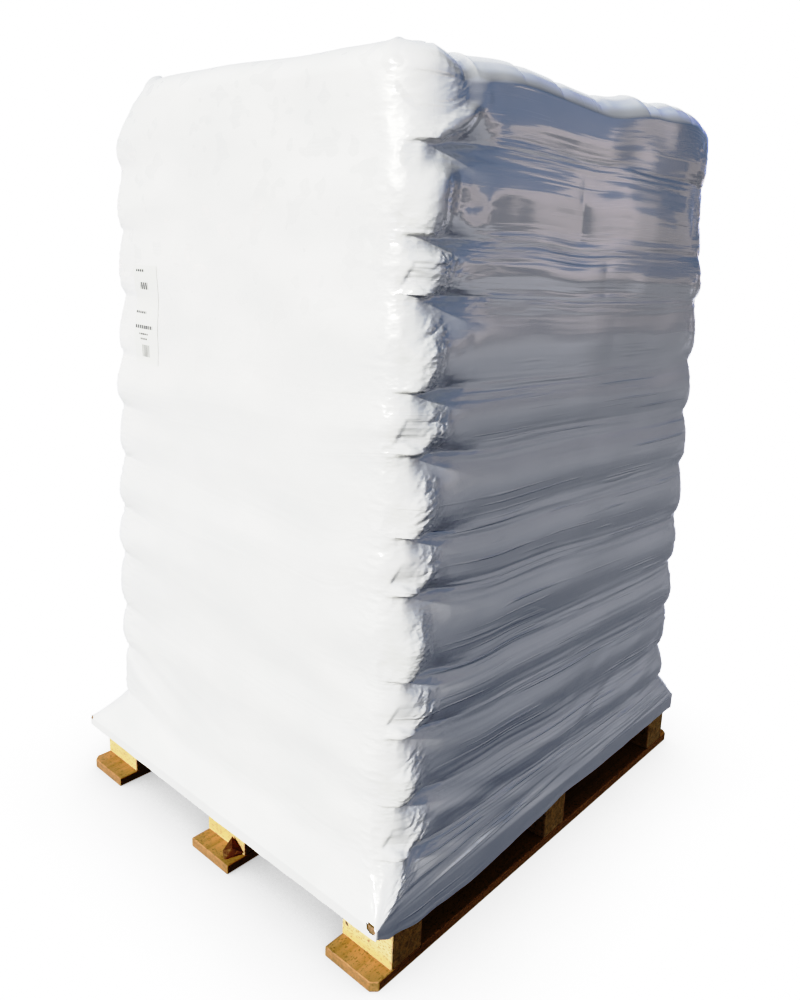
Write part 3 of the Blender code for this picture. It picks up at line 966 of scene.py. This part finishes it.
def sack_film_material():
    """The sacks' own film: milky, with the pellets showing as small dimples."""
    nodes = Nodes(bpy.data.materials.new("sack_film"))
    wide = nodes.noise((9, 9, 9), 3.0)
    pellets = (nodes.cells((170, 170, 170)), 0.0009, 0.5)
    dents = (nodes.noise((26, 26, 26), 3.0), 0.003, 0.4)
    return nodes.finish(
        Base_Color=nodes.mix(nodes.spread(wide, 0.3, 0.7), (0.72, 0.72, 0.69), (0.80, 0.80, 0.78)),
        Roughness=nodes.spread(wide, 0.3, 0.7, 0.3, 0.45),
        Normal=nodes.bumps(pellets, dents),
    )


def label_paper_material():
    """Matt white paper with a few plain grey bars."""
    nodes = Nodes(bpy.data.materials.new("label_paper"))
    fibre = nodes.noise((300, 300, 300), 3.0)
    paper = nodes.mix(nodes.spread(fibre, 0.3, 0.7), (0.77, 0.78, 0.76), (0.81, 0.82, 0.80))
    colour = nodes.mix(nodes.value_of("bars"), paper, (0.08, 0.08, 0.085))
    return nodes.finish(Base_Color=colour, Roughness=0.55, Normal=nodes.bumps((fibre, 0.0001, 0.3)))


def wood_material(name, light, dark, along, knots):
    """Sawn softwood. along is 0, 1 or 2, the axis that its grain runs along."""
    nodes = Nodes(bpy.data.materials.new(name))

    def stretched(fine, coarse):
        scale = [fine] * 3
        scale[along] = coarse
        return tuple(scale)

    def shade(share):
        return tuple(share * part for part in dark)

    grain = nodes.noise(stretched(120, 3), 6.0, 0.65, 0.6)
    bands = nodes.noise(stretched(26, 1.2), 3.0, 0.5, 1.2)
    fibre = nodes.noise(stretched(520, 9), 3.0, 0.6)
    blotch = nodes.noise((13, 13, 13), 3.0)
    mottle = nodes.noise((95, 95, 95), 5.0, 0.7)
    saw_marks = nodes.noise(stretched(8, 190))
    pit = nodes.spread(nodes.noise(stretched(330, 130), 2.0, 0.6), 0.58, 0.65)
    spot = nodes.spread(nodes.cells(stretched(24, 15)), 0.07, 0.13, 1.0, 0.0)
    chosen = nodes.spread(nodes.noise((31, 31, 31), 0.0), 1.0 - knots, 1.02 - knots)

    true_normal = nodes.add("ShaderNodeNewGeometry").outputs["True Normal"]
    faced = nodes.add("ShaderNodeSeparateXYZ", Vector=true_normal).outputs[along]
    end_face = nodes.spread(nodes.math("ABSOLUTE", faced), 0.6, 0.9)
    colour = nodes.covered(
        nodes.mix(nodes.spread(bands, 0.35, 0.68), light, dark),
        (nodes.spread(grain, 0.52, 0.74, 0.0, 0.55), shade(0.50)),
        (nodes.spread(blotch, 0.50, 0.75, 0.0, 0.35), shade(0.62)),
        (nodes.times(pit, 0.70), shade(0.40)),
        (nodes.spread(nodes.noise((110, 110, 110)), 0.62, 0.68, 0.0, 0.70), (0.24, 0.12, 0.045)),
        (nodes.times(spot, chosen), (0.07, 0.035, 0.014)),
        (nodes.times(end_face, 0.75), nodes.mix(nodes.spread(mottle, 0.35, 0.65), dark, shade(0.42))),
    )
    normal = nodes.bumps(
        (grain, 0.0012, 0.6),
        (fibre, 0.0005, 0.5),
        (nodes.times(pit, -1.0), 0.0012, 0.6),
        (saw_marks, 0.0005, 0.35),
        (nodes.times(mottle, end_face), 0.002, 0.7),
    )
    roughness = nodes.spread(grain, 0.3, 0.7, 0.6, 0.8)
    return nodes.finish(Base_Color=colour, Roughness=roughness, Normal=normal)


def length_setting(name, description, default):
    """A length that a user can change."""
    return bpy.props.FloatProperty(name=name, description=description, default=default, unit="LENGTH")


def colour_setting(name, description, default):
    """A colour that a user can change."""
    return bpy.props.FloatVectorProperty(
        name=name, description=description, default=default, size=3, min=0.0, max=1.0, subtype="COLOR"
    )


def strength_setting(name, description, default):
    """The strength of a light that a user can change."""
    return bpy.props.FloatProperty(name=name, description=description, default=default, min=0.0)


class FilmSettings(bpy.types.PropertyGroup):
    """Sizes of the stretch film's folds."""

    corner_notch: length_setting(
        "Notch at the corner", "Depth of the notches between the layers at the near corner", 0.023
    )
    shoulder_radius: length_setting(
        "Shoulder radius", "Radius that the film turns over the top edge with", 0.045
    )
    over_top: length_setting("Reach over the top", "How far the film reaches in over the cover sheet", 0.030)
    hem_tuck: length_setting("Hem tuck", "How far the lower edge draws in under the deck", 0.0008)
    rope_height: length_setting("Rope height", "Height of the long drawn folds along the notches", 0.0040)
    tooth_height: length_setting("Crumple height", "Height of the crumples at the near corner", 0.0042)
    recess_depth: length_setting("Recess depth", "How far the thin layers draw in at the near corner", 0.0085)
    pleat_height: length_setting("Pleat height", "Height of the level pleats across the near corner", 0.0013)
    undercut: length_setting(
        "Undercut", "How far a layer's underside hangs over the notch at the near corner", 0.004
    )


class SackSettings(bpy.types.PropertyGroup):
    """Sizes of the sacks inside the film."""

    behind_film: length_setting("Behind the film", "Gap between the sacks and the film's crests", 0.010)
    edge_round: bpy.props.FloatProperty(
        name="Edge thinning",
        description="How much thinner a sack is at its edges than in the middle",
        default=0.5,
        min=0.0,
        max=1.0,
        subtype="FACTOR",
    )


class WoodSettings(bpy.types.PropertyGroup):
    """Colours of the pallet's wood, each with its darker bands."""

    skid_light: colour_setting("Skids", "Colour of the skids", (0.54, 0.32, 0.12))
    skid_dark: colour_setting("Skids, bands", "Colour of the skids' darker bands", (0.41, 0.225, 0.075))
    block_light: colour_setting("Blocks", "Colour of the blocks", (0.81, 0.58, 0.31))
    block_dark: colour_setting("Blocks, bands", "Colour of the blocks' darker bands", (0.70, 0.46, 0.20))
    board_light: colour_setting("Boards", "Colour of the deck boards and stringers", (0.50, 0.34, 0.17))
    board_dark: colour_setting("Boards, bands", "Colour of the boards' darker bands", (0.34, 0.20, 0.09))
    offcut_light: colour_setting("Offcut", "Colour of the loose offcut", (0.155, 0.068, 0.026))
    offcut_dark: colour_setting("Offcut, bands", "Colour of the offcut's darker bands", (0.10, 0.044, 0.017))


class StudioSettings(bpy.types.PropertyGroup):
    """Light and background."""

    key_strength: strength_setting("Key light", "Strength of the key light", 4.5)
    key_softness: bpy.props.FloatProperty(
        name="Key softness",
        description="Angle that the key light seems to have",
        default=math.radians(2.6),
        subtype="ANGLE",
    )
    fill_strength: strength_setting("Fill light", "Strength of the light from all round", 1.0)
    side_strength: strength_setting("Side light", "Power of the soft light beside the load", 3.0)
    back_strength: strength_setting("Back light", "Power of the soft light behind the load", 70.0)
    floor_size: length_setting("Floor size", "Width of the floor", 40.0)


class PALLET_OT_stretch_film(bpy.types.Operator):
    """Adds the stretch film in four bands, each over three layers and joined edge to edge"""

    bl_idname = "pallet.stretch_film"
    bl_label = "Add stretch film"

    def execute(self, context):
        settings = context.scene.pallet_film
        material = stretch_film_material()
        places = column_places(*COLUMN_WIDTHS)
        hem = [(0, 0, 1 - step / HEM_ROWS, 0, 0) for step in range(HEM_ROWS)]
        turn = [(LAYERS - 1, 1, 0, step / TURN_ROWS, 0) for step in range(1, TURN_ROWS + 1)]
        over = [(LAYERS - 1, 1, 0, 1, step / OVER_ROWS) for step in range(1, OVER_ROWS + 1)]
        bands = (
            ("stretch_film_low", hem + body_rows(0, 2, LAYER_ROWS)),
            ("stretch_film_mid_low", body_rows(3, 5, LAYER_ROWS)),
            ("stretch_film_mid_high", body_rows(6, 8, LAYER_ROWS)),
            ("stretch_film_high", body_rows(9, 11, LAYER_ROWS) + turn + over),
        )
        for name, rows in bands:
            points, marks = film_points(places, np.array(rows, float), settings)
            keep = np.ones(points.shape[:2], bool)
            for middle, half in CORNER_HOLES:
                keep &= np.linalg.norm((points - middle) / half, axis=-1) > 1
            mesh = mesh_from_grid(name, points, closed=True, keep=keep)
            for mark, values in marks.items():
                set_point_values(mesh, mark, values)
            band = add_piece(name, mesh, material, ["stretch_wrap"])
            high = float(points[-1, :, 2].mean() - points[0, :, 2].mean())
            if name == "stretch_film_high":
                high += FILM_OVER_EDGE
        return {"FINISHED"}


def sack_shape(low, high, rounding, seed):
    """One filled sack: a pillow with thin edges and soft corners, within these limits."""
    shape = bmesh.new()
    bmesh.ops.create_cube(shape, size=2.0)
    bmesh.ops.subdivide_edges(shape, edges=shape.edges[:], cuts=9, use_grid_fill=True)
    rng = np.random.default_rng(seed)
    phase = rng.random(6) * 6.28
    middle = [(a + b) / 2 for a, b in zip(low, high)]
    half = [(b - a) / 2 for a, b in zip(low, high)]
    for vertex in shape.verts:
        x, y, z = vertex.co
        plan = max(abs(x), abs(y))
        corner = (abs(x) * abs(y)) ** 3
        thin = 1 - rounding * plan**7 - 0.25 * corner
        wave = 0.012 * math.sin(5 * x + phase[0]) * math.sin(4 * y + phase[1])
        draw_in = 1 - 0.05 * z * z - 0.06 * corner
        x = x * draw_in * (1 - 0.018 * y * y)
        y = y * draw_in * (1 - 0.018 * x * x)
        z = z * (thin + wave)
        vertex.co = (middle[0] + half[0] * x, middle[1] + half[1] * y, middle[2] + half[2] * z)
    return shape


def sacks_in_layer(number, low, high):
    """The limits of the five sacks of a layer: three across the load and two along it."""
    split = low.x + (high.x - low.x) * THREE_SHARE
    spans = []
    for span_x, count in (((low.x, split), 3), ((split, high.x), 2)):
        long = (high.y - low.y) / count
        spans += [(span_x, (low.y + index * long, low.y + (index + 1) * long)) for index in range(count)]
    if number % 2:
        spans = [((low.x + high.x - b, low.x + high.x - a), span_y) for (a, b), span_y in spans]
    gap = SACK_GAP
    return [((a + gap, c + gap), (b - gap, d - gap)) for (a, b), (c, d) in spans]


def inner_film():
    """The film's surface as it is now, to press the sacks and the cover sheet against."""
    points, faces = [], []
    for piece in bpy.context.scene.objects:
        if piece.name.startswith("stretch_film"):
            first = len(points)
            points += [vertex.co for vertex in piece.data.vertices]
            faces += [[first + index for index in face.vertices] for face in piece.data.polygons]
    return BVHTree.FromPolygons(points, faces)


def press_in(mesh, film, room):
    """Moves points inward where they would touch the film, apart from those near the middle."""
    centre_x, centre_y = LOAD["centre"]
    for vertex in mesh.vertices:
        axis = Vector((centre_x, centre_y, vertex.co.z))
        outward = vertex.co - axis
        reach = outward.length
        if reach < MIDDLE_REACH:
            continue
        hit = film.ray_cast(axis, outward / reach)[3]
        if hit is not None and reach > hit - room:
            vertex.co = axis + outward * ((hit - room) / reach)


class PALLET_OT_sacks(bpy.types.Operator):
    """Adds the sixty filled sacks, a piece for each layer"""

    bl_idname = "pallet.sacks"
    bl_label = "Add sacks"

    def execute(self, context):
        settings = context.scene.pallet_sacks
        material = sack_film_material()
        film = inner_film()
        inside = Vector((settings.behind_film, settings.behind_film, 0.0))
        for number, node in enumerate(SACK_NODES):
            name = f"sacks_{number + 1:02d}"
            low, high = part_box(node)
            bottom, top = low.z + LAYER_GAP, high.z - LAYER_GAP
            layer = bmesh.new()
            for index, (start, end) in enumerate(sacks_in_layer(number, low + inside, high - inside)):
                seed = 10 * number + index
                sack = sack_shape((*start, bottom), (*end, top), settings.edge_round, seed)
                part = bpy.data.meshes.new("sack")
                sack.to_mesh(part)
                sack.free()
                layer.from_mesh(part)
                bpy.data.meshes.remove(part)
            mesh = bpy.data.meshes.new(name)
            layer.to_mesh(mesh)
            layer.free()
            press_in(mesh, film, SACK_ROOM)
            mesh.shade_smooth()
            piece = add_piece(name, mesh, material, [node])
        return {"FINISHED"}


class PALLET_OT_cover_sheet(bpy.types.Operator):
    """Adds the crumpled cover sheet over the top layer"""

    bl_idname = "pallet.cover_sheet"
    bl_label = "Add cover sheet"

    def execute(self, context):
        low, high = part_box("top_sheet")
        middle = (low + high) / 2
        half = (high - low) / 2
        half_x, half_y = half.x * SHEET_SHARE, half.y * SHEET_SHARE
        across, along = np.meshgrid(*(np.linspace(-1, 1, count) for count in SHEET_GRID))
        from_edge_x = half_x * (1 - np.abs(across))
        from_edge_y = half_y * (1 - np.abs(along))
        turn_x = np.clip(SHEET_CORNER - from_edge_x, 0, None)
        turn_y = np.clip(SHEET_CORNER - from_edge_y, 0, None)
        reach = np.hypot(turn_x, turn_y)
        draw_in = np.where(reach > 0, np.maximum(turn_x, turn_y) / np.maximum(reach, 1e-9), 1.0)
        x = middle.x + np.sign(across) * (half_x - from_edge_x - turn_x * (1 - draw_in))
        y = middle.y + np.sign(along) * (half_y - from_edge_y - turn_y * (1 - draw_in))
        fine = folds(across + 1, along + 1, *FINE_SHEET_FOLDS) * FINE_SHEET_FOLD_HEIGHT
        inside = smooth(np.minimum(from_edge_x, from_edge_y) / 0.12 - 0.5)
        points = np.stack([x, y, sheet_height(x, y) + fine * inside], axis=-1)
        mesh = mesh_from_grid("cover_sheet", points, closed=False)
        press_in(mesh, inner_film(), SHEET_ROOM)
        sheet = add_piece("cover_sheet", mesh, cover_film_material(), ["top_sheet"])
        return {"FINISHED"}


def label_bars(across, up):
    """Where the label's plain bars are: short level lines, and upright ones at the foot."""
    lines = (
        (0.945, 0.012, 0.12, 0.50),
        (0.80, 0.036, 0.26, 0.60),
        (0.53, 0.012, 0.02, 0.50),
        (0.38, 0.020, 0.02, 0.78),
        (0.31, 0.009, 0.20, 0.58),
        (0.26, 0.009, 0.24, 0.54),
    )
    bars = np.zeros_like(across)
    for centre, half_high, start, end in lines:
        inside = (np.abs(up - centre) < half_high) & (across > start) & (across < end)
        dashes = np.mod(across * 11 + centre * 7, 1) < 0.72
        bars = np.where(inside & dashes, 1.0, bars)
    upright = (up > 0.07) & (up < 0.20) & (across > 0.30) & (across < 0.64)
    return np.where(upright & (np.mod(across * 19, 1) < 0.6), 0.9, bars)


class PALLET_OT_label(bpy.types.Operator):
    """Adds the paper label, lying on the film of the front"""

    bl_idname = "pallet.label"
    bl_label = "Add label"

    def execute(self, context):
        low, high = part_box("label")
        left_of_front = LOAD["centre"][0] - (LOAD["half"][LABEL_LAYER][0] - LOAD_CORNER)
        columns, lines = LABEL_GRID
        places = np.linspace(low.x - left_of_front, high.x - left_of_front, columns)
        limits = LOAD["limits"]
        rows = []
        for height in np.linspace(low.z, high.z, lines):
            layer = int(np.searchsorted(limits, height) - 1)
            share = (height - limits[layer]) / (limits[layer + 1] - limits[layer])
            rows.append((layer, share, 0, 0, 0))
        points, marks = film_points(places, np.array(rows), context.scene.pallet_film, lift=LABEL_LIFT)
        mesh = mesh_from_grid("label_sheet", points, closed=False)
        across, up = np.meshgrid(np.linspace(0, 1, columns), np.linspace(0, 1, lines))
        set_point_values(mesh, "bars", label_bars(across, up))
        label = add_piece("label_sheet", mesh, label_paper_material(), ["label"])
        return {"FINISHED"}


# The pallet's wood: how its nodes' names start, the material's name, the slot, the name of its colours
# in the settings, the axis that the grain runs along, and how many knots it has.
WOODS = (
    ("skid_", "skid_wood", "skid_wood", "skid", 1, 0.42),
    ("block_", "block_wood", "block_wood", "block", 0, 0.44),
    ("deck_board_", "board_wood", "board_wood", "board", 1, 0.42),
    ("stringer_", "board_wood_across", "board_wood", "board", 0, 0.42),
    ("wood_offcut", "offcut_wood", "offcut_wood", "offcut", 2, 0.3),
)


class PALLET_OT_wood(bpy.types.Operator):
    """Gives the pallet's boards, blocks and the offcut their wood"""

    bl_idname = "pallet.wood"
    bl_label = "Finish wood"

    def execute(self, context):
        settings = context.scene.pallet_wood
        for start, finish, slot_name, tint, along, knots in WOODS:
            light = getattr(settings, tint + "_light")
            dark = getattr(settings, tint + "_dark")
            material = wood_material(finish, light, dark, along, knots)
            for name, node in frame["nodes"].items():
                if name.startswith(start):
                    node.data.materials.clear()
                    node.data.materials.append(material)
        return {"FINISHED"}


# The light from all round: a share from straight down, 0, to straight up, 1, and the colour there.
SOFT_LIGHT = (
    (0.00, (0.04, 0.038, 0.035)),
    (0.48, (0.06, 0.058, 0.057)),
    (0.54, (0.110, 0.120, 0.146)),
    (0.75, (0.122, 0.143, 0.190)),
    (1.00, (0.20, 0.23, 0.30)),
)

# What gloss mirrors, the same way: ground, a dark band along the horizon, and sky over it.
MIRRORED = (
    (0.00, (0.18, 0.19, 0.24)),
    (0.22, (0.52, 0.55, 0.67)),
    (0.36, (1.00, 1.05, 1.22)),
    (0.43, (1.28, 1.30, 1.44)),
    (0.468, (1.34, 1.34, 1.46)),
    (0.476, (0.34, 0.34, 0.40)),
    (0.498, (0.28, 0.29, 0.34)),
    (0.501, (1.60, 1.42, 1.44)),
    (0.534, (1.85, 1.64, 1.66)),
    (0.538, (0.34, 0.47, 0.84)),
    (0.60, (0.30, 0.43, 0.80)),
    (0.68, (0.13, 0.22, 0.52)),
    (0.78, (0.40, 0.46, 0.62)),
    (1.00, (0.70, 0.74, 0.84)),
)

# A share from the left, 0, to the right, 1: a dimmer band on the far right, and what gloss mirrors
# behind the load.
FAR_SIDE = (
    (0.00, (1, 1, 1)),
    (0.50, (1, 1, 1)),
    (0.60, (0.30, 0.30, 0.30)),
    (0.715, (0.30, 0.30, 0.30)),
    (0.742, (1, 1, 1)),
    (1.00, (1, 1, 1)),
)
BEHIND = (
    (0.00, (0.80, 0.84, 0.90)),
    (0.33, (0.80, 0.84, 0.90)),
    (0.44, (0, 0, 0)),
    (1.00, (0, 0, 0)),
)


def studio_world(power):
    """Light from all round, what gloss mirrors, and plain white behind the object."""
    world = bpy.data.worlds.new("studio_light")
    bpy.context.scene.world = world
    nodes = Nodes(world)
    nodes.tree.nodes.clear()
    where = nodes.add("ShaderNodeTexCoord").outputs["Generated"]
    direction = nodes.add("ShaderNodeSeparateXYZ", Vector=where).outputs
    stretched = nodes.add("ShaderNodeMapping", Vector=where, Scale=(1.0, 1.0, 2.6)).outputs[0]
    waves = nodes.add("ShaderNodeTexNoise", Vector=stretched, Scale=5.0, Detail=3.0).outputs["Fac"]
    wavy_height = nodes.weighted(-0.21, (direction["Z"], 1.0), (waves, 0.42))
    soft = nodes.banded(direction["Z"], SOFT_LIGHT)
    mirrored = nodes.banded(wavy_height, MIRRORED)
    mirrored = nodes.combine("MULTIPLY", mirrored, nodes.banded(direction["X"], FAR_SIDE))
    mirrored = nodes.combine("MAXIMUM", mirrored, nodes.banded(direction["X"], BEHIND))
    ray = nodes.add("ShaderNodeLightPath").outputs
    lit = nodes.blend(ray["Is Glossy Ray"], nodes.shone(soft, power), nodes.shone(mirrored, power))
    seen = nodes.blend(ray["Is Camera Ray"], lit, nodes.shone((1, 1, 1), WHITE_LEVEL))
    nodes.add("ShaderNodeOutputWorld", Surface=seen)


def floor_material():
    """A plain pale floor that glows, with a painted soft shadow round what stands on it, and lights little.
    """
    nodes = Nodes(bpy.data.materials.new("pale_floor"))
    nodes.tree.nodes.clear()
    # Painted shadow: the floor's glow dims with ambient occlusion round what stands on it.
    open_share = nodes.add("ShaderNodeAmbientOcclusion", samples=8, Distance=0.30).outputs["AO"]
    glow_with_painted_shadow = nodes.spread(open_share, 0.2, 0.95, 0.45, WHITE_LEVEL)
    pale = nodes.add("ShaderNodeEmission", Strength=glow_with_painted_shadow).outputs[0]
    dim = nodes.add("ShaderNodeEmission", Color=(0.020, 0.018, 0.016)).outputs[0]
    ray = nodes.add("ShaderNodeLightPath").outputs
    nodes.add("ShaderNodeOutputMaterial", Surface=nodes.blend(ray["Is Camera Ray"], dim, pale))
    return nodes.owner


# The picture's tones: the light that prints as white, and how light prints in between.
WHITE_LEVEL = 1.8
TONES = (
    (0.000, 0.000),
    (0.020, 0.002),
    (0.040, 0.007),
    (0.060, 0.024),
    (0.090, 0.066),
    (0.150, 0.152),
    (0.350, 0.360),
    (0.600, 0.660),
    (0.850, 0.810),
    (1.100, 0.872),
    (1.400, 0.930),
    (1.800, 1.000),
)


def set_tones(view):
    """Gives the picture a camera's soft highlights and deep shadows."""
    view.view_transform = "Standard"
    view.use_curve_mapping = True
    mapping = view.curve_mapping
    mapping.white_level = (WHITE_LEVEL, WHITE_LEVEL, WHITE_LEVEL)
    curve = mapping.curves[3]
    curve.points[0].location = TONES[0]
    curve.points[1].location = (1.0, 1.0)
    for light, printed in TONES[1:-1]:
        curve.points.new(light / WHITE_LEVEL, printed)
    mapping.update()


# The camera that took the photograph: where it stood, which way it looked, and its lens.
CAMERA_PLACE = Vector((1.3458, -1.5373, 1.2967))
CAMERA_YAW = math.radians(-41.66)
CAMERA_PITCH = math.radians(12.66)
CAMERA_ROLL = math.radians(2.216)
CAMERA_SENSOR = 36.0
CAMERA_LENS = 30.26
CAMERA_SHIFT_Y = -0.0512

# The key light stands low in front of the load, a little to its left.
KEY_DIRECTION = Vector((-0.024, -0.922, 0.385))
KEY_COLOUR = (1.0, 0.985, 0.93)

# Two soft lights stand beside and behind the load: where, what they shine at, how wide they are, and
# their colour.
SIDE_LIGHT = (Vector((2.7, 0.7, 2.1)), Vector((0.4, 0.1, 0.75)), 1.6, (0.88, 0.93, 1.0))
BACK_LIGHT = (Vector((-2.6, 3.4, 2.6)), Vector((0, 0, 0.8)), 2.4, (1.0, 1.0, 1.0))

# The floor lies this far under the skids.
FLOOR_GAP = 0.0005


def add_to_scene(name, data):
    """Adds an object that isn't part of the load."""
    added = bpy.data.objects.new(name, data)
    bpy.context.scene.collection.objects.link(added)
    return added


def add_camera():
    """Puts the camera where the photograph was taken from."""
    lens = bpy.data.cameras.new("photo_camera")
    lens.sensor_width = CAMERA_SENSOR
    lens.lens = CAMERA_LENS
    lens.shift_y = CAMERA_SHIFT_Y
    camera = add_to_scene("photo_camera", lens)
    ahead = Vector((math.sin(CAMERA_YAW), math.cos(CAMERA_YAW), 0.0))
    forward = ahead * math.cos(CAMERA_PITCH) - Vector((0.0, 0.0, math.sin(CAMERA_PITCH)))
    right = Vector((math.cos(CAMERA_YAW), -math.sin(CAMERA_YAW), 0.0))
    up = right.cross(forward)
    turned_right = right * math.cos(CAMERA_ROLL) + up * math.sin(CAMERA_ROLL)
    turned_up = up * math.cos(CAMERA_ROLL) - right * math.sin(CAMERA_ROLL)
    axes = Matrix((turned_right, turned_up, -forward)).transposed().to_4x4()
    camera.matrix_world = Matrix.Translation(CAMERA_PLACE) @ axes
    bpy.context.scene.camera = camera


def add_light(name, kind, energy, back_to, **values):
    """Adds a light with its back to this direction."""
    lamp = bpy.data.lights.new(name, kind)
    lamp.energy = energy
    for key, value in values.items():
        setattr(lamp, key, value)
    light = add_to_scene(name, lamp)
    light.rotation_mode = "QUATERNION"
    light.rotation_quaternion = back_to.to_track_quat("Z", "Y")
    return light


def add_soft_light(name, energy, place, aim, width, tint):
    """Adds a round soft light that gloss doesn't mirror."""
    light = add_light(name, "AREA", energy, place - aim, shape="DISK", size=width, color=tint)
    light.location = place
    light.visible_glossy = False


def add_floor(width):
    """Adds the floor, just under the skids."""
    shape = bmesh.new()
    bmesh.ops.create_grid(shape, x_segments=1, y_segments=1, size=width / 2)
    mesh = bpy.data.meshes.new("floor")
    shape.to_mesh(mesh)
    shape.free()
    mesh.materials.append(floor_material())
    floor = add_to_scene("floor", mesh)
    floor.location.z = -FLOOR_GAP
    floor.visible_glossy = False


class PALLET_OT_studio(bpy.types.Operator):
    """Adds the floor, the lights and the camera"""

    bl_idname = "pallet.studio"
    bl_label = "Add studio"

    def execute(self, context):
        settings = context.scene.pallet_studio
        studio_world(settings.fill_strength)
        key = {"angle": settings.key_softness, "color": KEY_COLOUR}
        add_light("key_light", "SUN", settings.key_strength, KEY_DIRECTION, **key)
        add_soft_light("side_light", settings.side_strength, *SIDE_LIGHT)
        add_soft_light("back_light", settings.back_strength, *BACK_LIGHT)
        add_floor(settings.floor_size)
        add_camera()
        set_tones(context.scene.view_settings)
        return {"FINISHED"}


OPERATORS = (
    PALLET_OT_wood,
    PALLET_OT_stretch_film,
    PALLET_OT_sacks,
    PALLET_OT_cover_sheet,
    PALLET_OT_label,
    PALLET_OT_studio,
)


GROUPS = {
    "pallet_film": FilmSettings,
    "pallet_sacks": SackSettings,
    "pallet_wood": WoodSettings,
    "pallet_studio": StudioSettings,
}


class PALLET_PT_panel(bpy.types.Panel):
    """Lists the pallet's pieces and their sizes"""

    bl_idname = "PALLET_PT_panel"
    bl_label = "Pallet of sacks"
    bl_space_type = "VIEW_3D"
    bl_region_type = "UI"
    bl_category = "Pallet"

    def draw(self, context):
        for operator in OPERATORS:
            self.layout.operator(operator.bl_idname)
        for group_name, group in GROUPS.items():
            box = self.layout.box()
            for name in group.__annotations__:
                box.prop(getattr(context.scene, group_name), name)


CLASSES = (*GROUPS.values(), *OPERATORS, PALLET_PT_panel)


def register():
    """Makes the add-on's classes and settings known."""
    for made in CLASSES:
        bpy.utils.register_class(made)
    for name, group in GROUPS.items():
        setattr(bpy.types.Scene, name, bpy.props.PointerProperty(type=group))


def unregister():
    """Takes the add-on's settings and classes away again."""
    for name in GROUPS:
        delattr(bpy.types.Scene, name)
    for made in reversed(CLASSES):
        bpy.utils.unregister_class(made)


def main():
    """Builds every piece and the stage."""
    register()
    for operator in OPERATORS:
        group, name = operator.bl_idname.split(".")
        getattr(getattr(bpy.ops, group), name)()


if __name__ == "__main__":
    main()
